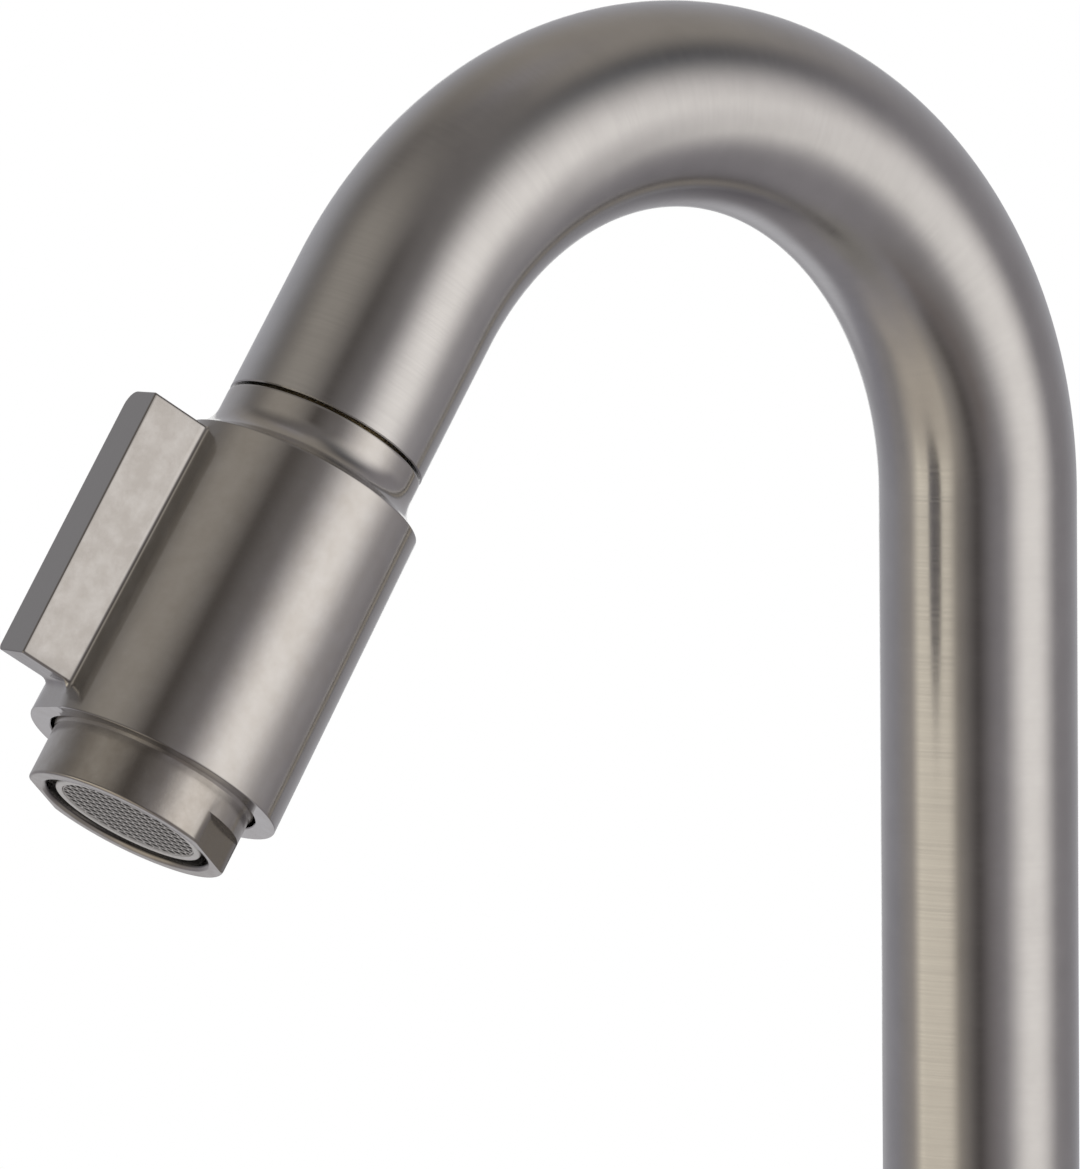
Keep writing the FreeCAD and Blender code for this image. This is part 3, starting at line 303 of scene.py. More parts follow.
FOOT = Matrix.Identity(4)
TURNED_COLUMNS = 128
ROWS_PER_PITCH = 10
THREAD_FLANK = 2.4
THREAD_ROOT = 0.1
GASKET = 1.5 * MM
CONNECTOR_RADIUS = 8.33 * MM
CONNECTOR_TOP = -38.0 * MM
CONNECTOR_PITCH = 1.337 * MM
CONNECTOR_DEPTH = 0.8 * MM
TAIL_RADIUS = 10.48 * MM
TAIL_BORE = 6.25 * MM
TAIL_END = -50.0 * MM
TAIL_CHAMFER = 0.8 * MM
TAIL_THREAD_TOP = -3.0 * MM
TAIL_PITCH = 1.814 * MM
TAIL_DEPTH = 1.1 * MM
FLANGE_RADIUS = 14.0 * MM
PLUG_RADIUS = 9.45 * MM
PLUG_TOP = 18.5 * MM


def rounded(corners, steps=5, support=0.1 * MM):
    """Points of a closed outline of radius and height, each corner rounded by its own radius."""
    points = []
    count = len(corners)
    for number, (across, along, radius) in enumerate(corners):
        corner = Vector((across, along))
        if radius == 0:
            points.append(corner)
            continue
        before = (Vector(corners[number - 1][:2]) - corner).normalized()
        after = (Vector(corners[(number + 1) % count][:2]) - corner).normalized()
        half = before.angle(after) / 2
        reach = radius / math.tan(half)
        centre = corner + (before + after).normalized() * (radius / math.sin(half))
        start = corner + before * reach
        end = corner + after * reach
        sweep = (start - centre).angle(end - centre)
        points.append(start + before * support)
        for step in range(steps + 1):
            share = step / steps
            from_start = (start - centre) * (math.sin((1 - share) * sweep) / math.sin(sweep))
            from_end = (end - centre) * (math.sin(share * sweep) / math.sin(sweep))
            points.append(centre + from_start + from_end)
        points.append(end + after * support)
    return points


def thread_depth(point, turn, threads):
    """How deep a vee thread is at one point of a turned piece's outer surface."""
    for radius, start, end, pitch, depth in threads:
        if start <= point[1] <= end and abs(point[0] - radius) < SAME_PLACE:
            phase = (point[1] / pitch - turn / (2 * math.pi)) % 1.0
            ridge = min(max(THREAD_FLANK * abs(phase - 0.5) - THREAD_ROOT, 0.0), 1.0)
            fade = min(1.0, (point[1] - start) / pitch, (end - point[1]) / pitch)
            return depth * (1 - ridge) * max(fade, 0.0)
    return 0.0


def thread_rows(radius, start, end, pitch):
    """Closely spaced points up a threaded length."""
    count = round((end - start) / pitch * ROWS_PER_PITCH)
    return [Vector((radius, start + (end - start) * step / count)) for step in range(count + 1)]


def turned_piece(name, outlines, place, threads=(), columns=TURNED_COLUMNS):
    """Turns closed outlines about the piece's axis and cuts its threads."""
    vertices, faces, grain, turning = [], [], [], []
    for points in outlines:
        start = len(vertices)
        run = 0.0
        for number, point in enumerate(points):
            run += (Vector(point) - Vector(points[number - 1])).length if number else 0.0
            for column in range(columns):
                turn = 2 * math.pi * column / columns
                radius = point[0] - thread_depth(point, turn, threads)
                local = Vector((radius * math.cos(turn), radius * math.sin(turn), point[1]))
                vertices.append(place @ local)
                grain.append(local)
                turning.append(turning_place(run, turn))
        faces += [tuple(start + corner for corner in face) for face in ring_faces(len(points), columns)]
    return build_piece(name, vertices, faces, grain, turning)


tail_points = [
    Vector((TAIL_BORE, TAIL_END)),
    Vector((CONNECTOR_RADIUS - TAIL_CHAMFER, TAIL_END)),
    *thread_rows(CONNECTOR_RADIUS, TAIL_END + TAIL_CHAMFER, CONNECTOR_TOP, CONNECTOR_PITCH),
    Vector((TAIL_RADIUS - TAIL_CHAMFER, CONNECTOR_TOP)),
    *thread_rows(TAIL_RADIUS, CONNECTOR_TOP + TAIL_CHAMFER, TAIL_THREAD_TOP, TAIL_PITCH),
    Vector((TAIL_RADIUS, GASKET)),
    Vector((FLANGE_RADIUS, GASKET)),
    Vector((FLANGE_RADIUS, TUBE_FOOT)),
    Vector((PLUG_RADIUS, TUBE_FOOT)),
    Vector((PLUG_RADIUS, PLUG_TOP)),
    Vector((TAIL_BORE, PLUG_TOP)),
]
tail_threads = (
    (CONNECTOR_RADIUS, TAIL_END + TAIL_CHAMFER, CONNECTOR_TOP, CONNECTOR_PITCH, CONNECTOR_DEPTH),
    (TAIL_RADIUS, CONNECTOR_TOP + TAIL_CHAMFER, TAIL_THREAD_TOP, TAIL_PITCH, TAIL_DEPTH),
)


def from_axis(tree, place):
    """How far a point lies from its piece's own axis."""
    parts = add_node(tree, "ShaderNodeSeparateXYZ", {"Vector": place}).outputs
    flat = add_node(tree, "ShaderNodeCombineXYZ", {"X": parts["X"], "Y": parts["Y"]}).outputs[0]
    return add_node(tree, "ShaderNodeVectorMath", {0: flat}, operation="LENGTH").outputs["Value"]


def along_axis(tree, place):
    """How far along its piece's own axis a point lies."""
    return add_node(tree, "ShaderNodeSeparateXYZ", {"Vector": place}).outputs["Z"]


def lathe_marks_group():
    """Fine rings that a lathe tool leaves around the piece's own axis, and slow patches of tarnish."""
    group, entry = new_group("lathe marks", {"Vector": None, "Pitch": 4000.0})
    inputs = {"X": from_axis(group, entry["Vector"]), "Z": along_axis(group, entry["Vector"])}
    profile = add_node(group, "ShaderNodeCombineXYZ", inputs).outputs[0]
    rings = noise(group, profile, scale=entry["Pitch"], detail=2.0, roughness=0.6)
    tarnish = noise(group, entry["Vector"], scale=220.0, detail=5.0, roughness=0.62)
    return close_group(group, {"Rings": rings, "Tarnish": tarnish})


LATHE_MARKS = lathe_marks_group()
RING_DEPTH = 0.004 * MM


def turned_metal(name, colour, dull_colour, roughness, place=None, pitch=4000.0, ring_depth=RING_DEPTH):
    """Turned metal with lathe rings, and a duller tone where it has been handled and stored."""
    material, tree = new_material(name)
    inputs = {"Vector": own_place(tree, place), "Pitch": pitch}
    marks = add_node(tree, "ShaderNodeGroup", inputs, node_tree=LATHE_MARKS).outputs
    shade = mixed(tree, remap(tree, marks["Tarnish"], 0.0, 1.0), colour, dull_colour)
    rough = uneven_roughness(tree, roughness, marks["Tarnish"], 0.85, 1.25, marks["Rings"], 0.2)
    surface(tree, shade, rough, bumped(tree, marks["Rings"], ring_depth), Metallic=1.0)
    return material


def dress(node, material):
    """Gives a CAD solid that stays its finished material."""
    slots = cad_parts[node].data.materials
    slots.clear()
    slots.append(material)


BRASS = (0.79, 0.64, 0.36)
DULL_BRASS = (0.64, 0.49, 0.25)
foot_brass = turned_metal("turned brass of the tail", BRASS, DULL_BRASS, roughness=0.24)
tail = turned_piece("tail_threaded", [tail_points], FOOT, threads=tail_threads)
fit_piece(tail, foot_brass, "spout", "tail_adapter")

COLLAR_RADIUS = 22.0 * MM
COLLAR_TOP = 9.0 * MM
COLLAR_SHOULDER = 1.6 * MM
COLLAR_SEAT = 20.8 * MM
COLLAR_SKIRT = 0.4 * MM
COLLAR_RECESS = 14.3 * MM
COLLAR_BORE = 11.15 * MM
GROOVE_RADIUS = 12.5 * MM
GROOVE_TOP = 7.75 * MM
GROOVE_BOTTOM = 6.05 * MM
COLLAR_EDGE = 0.3 * MM
SKIRT_EDGE = 0.1 * MM
COLLAR_COLUMNS = 160
collar_points = rounded(
    [
        (COLLAR_RECESS, GASKET, 0),
        (COLLAR_SEAT, GASKET, 0),
        (COLLAR_SEAT, COLLAR_SKIRT, SKIRT_EDGE),
        (COLLAR_RADIUS, COLLAR_SKIRT, COLLAR_EDGE),
        (COLLAR_RADIUS, COLLAR_TOP, COLLAR_SHOULDER),
        (COLLAR_BORE, COLLAR_TOP, COLLAR_EDGE),
        (COLLAR_BORE, GROOVE_TOP, 0),
        (GROOVE_RADIUS, GROOVE_TOP, 0),
        (GROOVE_RADIUS, GROOVE_BOTTOM, 0),
        (COLLAR_BORE, GROOVE_BOTTOM, 0),
        (COLLAR_BORE, TUBE_FOOT, 0),
        (COLLAR_RECESS, TUBE_FOOT, 0),
    ]
)
collar = turned_piece("foot_collar_brushed", [collar_points], FOOT, columns=COLLAR_COLUMNS)
fit_piece(collar, brushed_steel, "spout", "foot_collar")

nut_brass = turned_metal("brass of the back nut", BRASS, DULL_BRASS, roughness=0.27, place=FOOT, pitch=3000.0)
dress("back_nut", nut_brass)


def zinc_plate():
    """Bright zinc plating with the faint crystal patches of a barrel-plated washer."""
    material, tree = new_material("zinc plated steel")
    place = own_place(tree, FOOT)
    crystals = add_node(tree, "ShaderNodeTexVoronoi", {"Vector": place, "Scale": 420.0}).outputs["Color"]
    patch = add_node(tree, "ShaderNodeSeparateColor", {"Color": crystals}).outputs[0]
    scuffs = noise(tree, place, scale=900.0, detail=4.0, roughness=0.6)
    shade = mixed(tree, patch, (0.60, 0.61, 0.63), (0.74, 0.75, 0.76))
    surface(tree, shade, remap(tree, scuffs, 0.26, 0.42), bumped(tree, scuffs, 0.006 * MM), Metallic=1.0)
    return material


dress("clamp_washer_steel", zinc_plate())


def fine_speckle_group():
    """The fine grain of a moulded surface, and slow marks of handling on it."""
    group, entry = new_group("fine speckle", {"Vector": None, "Grain": 3500.0, "Marks": 160.0})
    speckle = noise(group, entry["Vector"], scale=entry["Grain"], detail=2.0, roughness=0.5)
    handling = noise(group, entry["Vector"], scale=entry["Marks"], detail=5.0, roughness=0.6)
    return close_group(group, {"Speckle": speckle, "Handling": handling})


FINE_SPECKLE = fine_speckle_group()


def moulded(name, colour, second_colour, roughness, depth, place=None, grain=3500.0, marks=160.0, cells=None):
    """Moulded rubber, plastic or pressed ceramic: a fine grain under a colour that changes slowly.

    Cells is where painted shade deep in its small cells is full, where it is gone, and the shade's colour.
    """
    material, tree = new_material(name)
    inputs = {"Vector": own_place(tree, place), "Grain": grain, "Marks": marks}
    speckle = add_node(tree, "ShaderNodeGroup", inputs, node_tree=FINE_SPECKLE).outputs
    shade = mixed(tree, remap(tree, speckle["Handling"], 0.0, 1.0), colour, second_colour)
    # Painted shade: the cells' walls turn dark with depth below the grid's face.
    if cells:
        shade_full_place, shade_gone_place, painted_shade_colour = cells
        light = remap(tree, along_axis(tree, own_place(tree, place)), 0.0, 1.0, shade_full_place, shade_gone_place)
        shade = mixed(tree, light, painted_shade_colour, shade)
    rough = remap(tree, speckle["Speckle"], roughness * 0.85, roughness * 1.15)
    surface(tree, shade, rough, bumped(tree, speckle["Speckle"], depth))
    return material


def ring_section(inner, outer, low, high, edge=0.2 * MM):
    """The outline of a flat ring with rounded edges."""
    corners = [(inner, low, edge), (outer, low, edge), (outer, high, edge), (inner, high, edge)]
    return rounded(corners, steps=4, support=0.02 * MM)


ORING_WIRE = 1.5 * MM
MOULD_SEAM = 0.03 * MM


def wire_section(middle, along, steps=24):
    """The outline of an O-ring, with the low seam that its mould leaves inside and outside."""
    points = []
    for step in range(steps):
        turn = 2 * math.pi * step / steps
        reach = ORING_WIRE / 2 - (MOULD_SEAM if step % (steps // 2) else 0.0)
        points.append(Vector((middle + reach * math.cos(turn), along + reach * math.sin(turn))))
    return points


RUBBER_COLUMNS = 96
RUBBER_BLACK = (0.022, 0.022, 0.023)
RUBBER_BLOOM = (0.040, 0.039, 0.038)
rubber = moulded("black rubber", RUBBER_BLACK, RUBBER_BLOOM, roughness=0.55, depth=0.006 * MM)


def rubber_piece(name, outlines, place, body, node):
    """Moulds a rubber piece and puts it in its solid's place."""
    piece = turned_piece(name, outlines, place, columns=RUBBER_COLUMNS)
    fit_piece(piece, rubber, body, node)


RUBBER_BORE = 10.78 * MM
GASKET_RADIUS = 20.6 * MM
WASHER_RADIUS = 17.0 * MM
WASHER_EDGE = 0.35 * MM
DECK_UNDERSIDE = -12.0 * MM
WASHER_BOTTOM = -14.0 * MM
FOOT_ORING = (11.75 * MM, 6.9 * MM)
gasket_outline = ring_section(RUBBER_BORE, GASKET_RADIUS, 0.0, GASKET)
washer_outline = ring_section(RUBBER_BORE, WASHER_RADIUS, WASHER_BOTTOM, DECK_UNDERSIDE, WASHER_EDGE)
rubber_piece("deck_gasket_moulded", [gasket_outline], FOOT, "spout", "deck_gasket")
rubber_piece("clamp_washer_moulded", [washer_outline], FOOT, "spout", "clamp_washer_rubber")
rubber_piece("foot_oring_moulded", [wire_section(*FOOT_ORING)], FOOT, "spout", "foot_oring")


# Turning sleeve with its lever.
# The real piece is a stainless casting: a hollow sleeve with a necked top and a flat lever, brushed all over.
# It turns about the outlet on a plastic bush and is pinned to the outlet nipple by a grub screw.

TIP = Vector((0, -89.7043 * MM, 175.9254 * MM))
TIP_FRAME = Matrix.Translation(TIP) @ Matrix.Rotation(math.pi - TIP_TILT, 4, "X")
LEVER_ANGLE = math.radians(100.0)
SHOULDER_RADIUS = 13.4 * MM
RIM_RADIUS = 13.85 * MM
SLEEVE_BORE = 11.6 * MM
SLEEVE_END = 40.0 * MM
SHOULDER = 6.1 * MM
NECK_RADIUS = 11.0 * MM
NECK_BORE = 9.6 * MM
NECK_SWEEP = 4.0 * MM
NECK_EDGE = 0.15 * MM
SWEEP_STEPS = 16
SWEEP_SHARE = 0.985
SEAM_GAP = 0.4 * MM
STEP_PLACE = 6.9 * MM
FLAT_DEPTH = 0.18 * MM
FLAT_SLOPE = 0.086
LEVER_NEAR = 2.75 * MM
LEVER_FAR = 3.6 * MM
LEVER_LEAN = 0.15 * MM
LEVER_DRAFT = 0.2 * MM
END_SLANT = 0.52 * MM
LEVER_REACH = 20.04 * MM
LEVER_TOP = 7.0 * MM
LEVER_BOTTOM = 37.4 * MM
LEVER_EDGE = 0.14 * MM
FILLET_SIDE = 0.5 * MM
FILLET_RIM = 1.0 * MM
FILLET_TOP = 0.15 * MM
EDGE_SUPPORT = 0.15 * MM
FACE_SUPPORT = 0.12 * MM
WINDOW_HALF = 4.5 * MM
WINDOW_TOP = 6.36 * MM
WINDOW_BOTTOM = 38.62 * MM
WINDOW_COLUMNS = 12
WINDOW_ROWS = 22
FLAT_COLUMN = 2
CORNER_STEPS = 3
REST_COLUMNS = 132


def sleeve_radius(along):
    """The sleeve's outer radius, which widens a little from its shoulder to its rim."""
    share = (along - SHOULDER) / (SLEEVE_END - 0.3 * MM - SHOULDER)
    return SHOULDER_RADIUS + (RIM_RADIUS - SHOULDER_RADIUS) * min(max(share, 0.0), 1.0)


def under_flat_depth(along):
    """Depth of the milled flat on the sleeve below the lever, which deepens to the rim."""
    return FLAT_DEPTH + (along - LEVER_BOTTOM) * FLAT_SLOPE


def around(radius, turn, along):
    """A point at a radius, a turn and a height of its piece."""
    return Vector((radius * math.cos(turn), radius * math.sin(turn), along))


def sleeve_row(radius, along, flat):
    """One ring of the sleeve, its first columns in front of the lever, counted from the near side."""
    points = []
    window = math.asin(WINDOW_HALF / RIM_RADIUS)
    face = RIM_RADIUS - under_flat_depth(along)
    inner = 1 - 2 * FLAT_COLUMN / WINDOW_COLUMNS
    for column in range(WINDOW_COLUMNS + 1):
        share = 2 * column / WINDOW_COLUMNS - 1
        if not flat or radius <= face:
            points.append(around(radius, share * window, along))
            continue
        edge = math.acos(face / radius)
        if abs(share) <= inner + 1e-9:
            points.append(Vector((face, share / inner * face * math.tan(edge), along)))
        else:
            turn = edge + (window - edge) * (abs(share) - inner) / (1 - inner)
            points.append(around(radius, math.copysign(turn, share), along))
    for column in range(1, REST_COLUMNS):
        turn = window + (2 * math.pi - 2 * window) * column / REST_COLUMNS
        points.append(around(radius, turn, along))
    return points


def lever_side(start, end, start_round, end_round, start_bend, end_bend, count):
    """Points and outward directions along one side of the lever, from mid-corner to mid-corner."""
    run = (end - start).normalized()
    outward = Vector((run.y, -run.x))
    first = start + run * start_round * math.tan(start_bend)
    last = end - run * end_round * math.tan(end_bend)
    found = []
    for number in range(count):
        if number < CORNER_STEPS:
            turn = start_bend * (1 - number / CORNER_STEPS)
            direction = outward * math.cos(turn) - run * math.sin(turn)
            found.append((first + (direction - outward) * start_round, direction))
        elif number <= count - CORNER_STEPS:
            share = (number - CORNER_STEPS) / (count - 2 * CORNER_STEPS)
            found.append((first.lerp(last, share), outward))
        else:
            turn = end_bend * (number - (count - CORNER_STEPS)) / CORNER_STEPS
            direction = outward * math.cos(turn) + run * math.sin(turn)
            found.append((last + (direction - outward) * end_round, direction))
    return found


def lever_outline():
    """The lever seen end on to its outer face, its ends slanted and one corner well rounded."""
    corners = [
        (Vector((-LEVER_NEAR, LEVER_TOP)), 0.35 * MM, WINDOW_COLUMNS),
        (Vector((LEVER_FAR, LEVER_TOP - END_SLANT)), 1.6 * MM, WINDOW_ROWS),
        (Vector((LEVER_FAR, LEVER_BOTTOM - END_SLANT)), 0.7 * MM, WINDOW_COLUMNS),
        (Vector((-LEVER_NEAR, LEVER_BOTTOM)), 0.3 * MM, WINDOW_ROWS),
    ]
    bends = []
    for number, (place, _, _) in enumerate(corners):
        before = place - corners[number - 1][0]
        after = corners[(number + 1) % 4][0] - place
        bends.append(before.angle(after) / 2)
    outline = []
    for number, (place, rounding, count) in enumerate(corners):
        following = (number + 1) % 4
        end, end_round, _ = corners[following]
        outline += lever_side(place, end, rounding, end_round, bends[number], bends[following], count)
    return outline


def lever_place(out, aside, along):
    """A place at the lever's outer face, which leans to the near side and draws in towards the rim."""
    share = (along - LEVER_TOP) / (LEVER_BOTTOM - LEVER_TOP)
    return Vector((out - LEVER_DRAFT * share, aside - LEVER_LEAN, along))


def root_fillet(aside, along, outward, steps=5):
    """Points of the hollow fillet between the sleeve and one place on the lever's wall.

    It is widest below the lever, where it meets the milled flat, and narrowest above the lever.
    """
    below, above = max(outward.y, 0.0), max(-outward.y, 0.0)
    radius = FILLET_SIDE + (FILLET_RIM - FILLET_SIDE) * below - (FILLET_SIDE - FILLET_TOP) * above
    side = aside + radius * outward.x
    place = along + radius * outward.y
    on_round = math.sqrt((sleeve_radius(place) + radius) ** 2 - side ** 2)
    on_flat = RIM_RADIUS - under_flat_depth(place) + radius
    flat = outward.y > 0.5 and on_flat < on_round
    centre = Vector((on_flat if flat else on_round, side, place))
    to_sleeve = Vector((-1, 0, 0)) if flat else -Vector((centre.x, centre.y, 0)).normalized()
    to_wall = -Vector((0, outward.x, outward.y))
    return [centre + radius * to_sleeve.slerp(to_wall, step / steps) for step in range(steps + 1)]


def lever_rings():
    """Rings of the lever, from its fillet on the sleeve out to the rounded edge of its face."""
    outline = lever_outline()
    fillets = [root_fillet(place.x, place.y, outward) for place, outward in outline]
    rings = [list(ring) for ring in zip(*fillets)]
    root = rings[-1]
    rings.append([point + Vector((EDGE_SUPPORT, 0, 0)) for point in root])
    for height in (0.35, 0.65):
        rings.append([point.lerp(lever_place(LEVER_REACH, point.y, point.z), height) for point in root])
    edge = [(EDGE_SUPPORT, 0, 0.0)] + [(0.0, degrees, 0.0) for degrees in (0, 22.5, 45, 67.5, 90)]
    for lowered, degrees, inset in edge + [(0.0, 90, FACE_SUPPORT)]:
        turn = math.radians(degrees)
        out = LEVER_REACH - LEVER_EDGE * (1 - math.sin(turn)) - lowered
        inward = LEVER_EDGE * (1 - math.cos(turn)) + inset
        ring = [place - outward * inward for place, outward in outline]
        rings.append([lever_place(out, place.x, place.y) for place in ring])
    return rings


def sleeve_rows():
    """Radius and height of each ring of the sleeve's round wall, and where its window and its flat lie."""
    inset = NECK_SWEEP - (SHOULDER_RADIUS - NECK_RADIUS)
    sweep_start = SHOULDER - math.sqrt(NECK_SWEEP ** 2 - inset ** 2)
    sweep_end = math.atan2(SHOULDER - sweep_start, inset) * SWEEP_SHARE
    rows = [
        (NECK_BORE, SEAM_GAP),
        (NECK_RADIUS - NECK_EDGE, SEAM_GAP),
        (NECK_RADIUS - 0.04 * MM, SEAM_GAP + 0.04 * MM),
        (NECK_RADIUS, SEAM_GAP + NECK_EDGE),
        (NECK_RADIUS, SEAM_GAP + 2 * NECK_EDGE),
        (NECK_RADIUS, sweep_start - 0.2 * MM),
    ]
    for step in range(SWEEP_STEPS + 1):
        turn = sweep_end * step / SWEEP_STEPS
        across = NECK_RADIUS + NECK_SWEEP * (1 - math.cos(turn))
        rows.append((across, sweep_start + NECK_SWEEP * math.sin(turn)))
    rows += [(SHOULDER_RADIUS - 0.02 * MM, SHOULDER + 0.01 * MM), (SHOULDER_RADIUS, SHOULDER + 0.09 * MM)]
    rows += [(sleeve_radius(along), along) for along in (SHOULDER + 0.16 * MM, WINDOW_TOP)]
    window_start = len(rows) - 1
    height = WINDOW_BOTTOM - WINDOW_TOP
    inside = [WINDOW_TOP + height * step / WINDOW_ROWS for step in range(1, WINDOW_ROWS)]
    rows += [(sleeve_radius(along), along) for along in inside]
    window_end = len(rows)
    near_rim = (WINDOW_BOTTOM, SLEEVE_END - 0.9 * MM, SLEEVE_END - 0.2 * MM, SLEEVE_END - 0.1 * MM)
    rows += [(sleeve_radius(along), along) for along in near_rim]
    rows += [(RIM_RADIUS - 0.03 * MM, SLEEVE_END - 0.03 * MM)]
    rows += [(RIM_RADIUS - 0.1 * MM, SLEEVE_END), (RIM_RADIUS - 0.2 * MM, SLEEVE_END)]
    flat_end = len(rows)
    rows += [
        (SLEEVE_BORE + 0.1 * MM, SLEEVE_END),
        (SLEEVE_BORE, SLEEVE_END - 0.1 * MM),
        (SLEEVE_BORE, SLEEVE_END - 0.3 * MM),
        (SLEEVE_BORE, SLEEVE_END / 2),
        (SLEEVE_BORE, STEP_PLACE),
        (NECK_BORE, STEP_PLACE),
    ]
    return rows, window_start, window_end, flat_end


def make_sleeve():
    """The sleeve as rings around the outlet, with the lever grown out of a window in them."""
    rows, window_start, window_end, flat_end = sleeve_rows()
    points = []
    for number, (radius, along) in enumerate(rows):
        points += sleeve_row(radius, along, window_end <= number < flat_end)
    columns = WINDOW_COLUMNS + REST_COLUMNS
    faces = []
    for face in ring_faces(len(rows), columns):
        row, column = divmod(face[0], columns)
        if not (window_start <= row < window_end and column < WINDOW_COLUMNS):
            faces.append(face)

    upper, lower = window_start * columns, window_end * columns
    window = [upper + column for column in range(WINDOW_COLUMNS)]
    window += [row * columns + WINDOW_COLUMNS for row in range(window_start, window_end)]
    window += [lower + WINDOW_COLUMNS - column for column in range(WINDOW_COLUMNS)]
    window += [row * columns for row in range(window_end, window_start, -1)]
    loops = [window]
    for ring in lever_rings():
        loops.append(list(range(len(points), len(points) + len(ring))))
        points += ring
    for outer, inner in zip(loops, loops[1:]):
        faces += bridge(outer, inner)
    faces.append(tuple(loops[-1]))

    turn_lever = Matrix.Rotation(LEVER_ANGLE, 4, "Z")
    local = [turn_lever @ point for point in points]
    turning = [turning_place(point.z, math.atan2(point.y, point.x)) for point in points]
    return build_piece("turn_sleeve_brushed", [TIP_FRAME @ point for point in local], faces, local, turning)


def reshape(piece, tool, operation, place):
    """Joins a tool to a piece or cuts it out, and works out again where each point lies in the piece."""
    bpy.context.scene.collection.objects.link(tool)
    change = piece.modifiers.new("tool", "BOOLEAN")
    change.object = tool
    change.operation = operation
    change.solver = "EXACT"
    bpy.context.view_layer.update()
    graph = bpy.context.evaluated_depsgraph_get()
    old = piece.data
    mesh = bpy.data.meshes.new_from_object(piece.evaluated_get(graph))
    piece.modifiers.clear()
    piece.data = mesh
    bpy.data.meshes.remove(old)
    bpy.data.objects.remove(tool)
    mesh.name = piece.name
    back = place.inverted()
    own = mesh.attributes["grain"].data
    for number, vertex in enumerate(mesh.vertices):
        own[number].vector = back @ vertex.co


def drill(piece, place, direction, radius, depth):
    """Bores a round hole from a place along a direction."""
    cutter = bpy.data.meshes.new("drill")
    bit = bmesh.new()
    bmesh.ops.create_cone(bit, cap_ends=True, segments=32, radius1=radius, radius2=radius, depth=depth)
    bit.to_mesh(cutter)
    bit.free()
    holder = bpy.data.objects.new("drill", cutter)
    holder.matrix_world = Matrix.Translation(place) @ direction.to_track_quat("Z", "Y").to_matrix().to_4x4()
    reshape(piece, holder, "DIFFERENCE", TIP_FRAME)


BRUSHED_REACH = 13.87 * MM
REACH_FADE = 0.4 * MM


def cast_skin_group():
    """The skin of a cast and brushed surface: fine pits, warm spots, and streaks where the brush reaches."""
    inputs = {"Vector": None, "Brushed Reach": BRUSHED_REACH, "Across": 5000.0, "Spots": 420.0}
    group, entry = new_group("cast skin", inputs)
    vector = entry["Vector"]
    past = maths(group, "SUBTRACT", from_axis(group, vector), entry["Brushed Reach"])
    reached = remap(group, past, 1.0, 0.0, 0.0, REACH_FADE)
    strokes = streaks(group, vector, along=160.0, across=entry["Across"], roughness=0.6)
    strokes = maths(group, "MULTIPLY", strokes, reached)
    pits = noise(group, vector, scale=3800.0, detail=3.0, roughness=0.6)
    spots = noise(group, vector, scale=entry["Spots"], detail=4.0, roughness=0.6)
    height = maths(group, "ADD", pits, strokes)
    return close_group(group, {"Height": height, "Spot": spots, "Pits": pits, "Brushed": reached})


CAST_SKIN = cast_skin_group()
SKIN_DEPTH = 0.0014 * MM
BORE_SHADE_COLOUR = (0.12, 0.115, 0.11)


def cast_metal(
    name, colour, warm_colour, roughness, anisotropy,
    wave=0.004 * MM, spots=420.0, bore=0.0, face=None, face_shade_tone=0.64,
):
    """Cast stainless steel, brushed around where it is round and left finely pitted where it is flat.

    Inside the radius of bore it is darker: painted shade in the bore.
    Face is a direction, the distance along it where a flat face lies, and the height that the face starts
    under; such a face is milled or left as cast, and painted shade darkens it by face_shade_tone.
    """
    material, tree = new_material(name)
    place = own_place(tree)
    inputs = {"Vector": place, "Brushed Reach": BRUSHED_REACH, "Spots": spots}
    skin = add_node(tree, "ShaderNodeGroup", inputs, node_tree=CAST_SKIN).outputs
    polished = mixed(tree, remap(tree, skin["Spot"], 0.0, 1.0), warm_colour, colour)
    dull, bright = scaled_colour(warm_colour, 0.80), scaled_colour(colour, 0.92)
    as_cast = mixed(tree, remap(tree, skin["Spot"], -0.3, 0.8), dull, bright)
    shade = mixed(tree, skin["Brushed"], as_cast, polished)
    # Painted shade: the surface inside the bore takes a dark colour.
    if bore:
        outside = remap(tree, from_axis(tree, place), 0.0, 1.0, bore, bore + 0.12 * MM)
        shade = mixed(tree, outside, BORE_SHADE_COLOUR, shade)
    # Painted shade: the flat face takes a darker colour for how the light falls on it.
    if face:
        direction, distance, below = face
        along = add_node(tree, "ShaderNodeVectorMath", {0: place, 1: direction}, operation="DOT_PRODUCT")
        either_way = maths(tree, "ABSOLUTE", along.outputs["Value"])
        outer = remap(tree, either_way, 0.0, 1.0, distance - 0.1 * MM, distance)
        under = maths(tree, "GREATER_THAN", along_axis(tree, place), below)
        painted_shade_on_face = maths(tree, "MULTIPLY", outer, under)
        shade = mixed(tree, painted_shade_on_face, shade, scaled_colour(warm_colour, face_shade_tone))
    rough = uneven_roughness(tree, roughness, skin["Spot"], 1.2, 0.85, skin["Pits"], 0.15)
    normal = bumped(tree, skin["Height"], SKIN_DEPTH, Normal=bumped(tree, skin["Spot"], wave))
    direction = turning_direction(tree)
    surface(tree, shade, rough, normal, Metallic=1.0, Anisotropic=anisotropy, Tangent=direction)
    return material


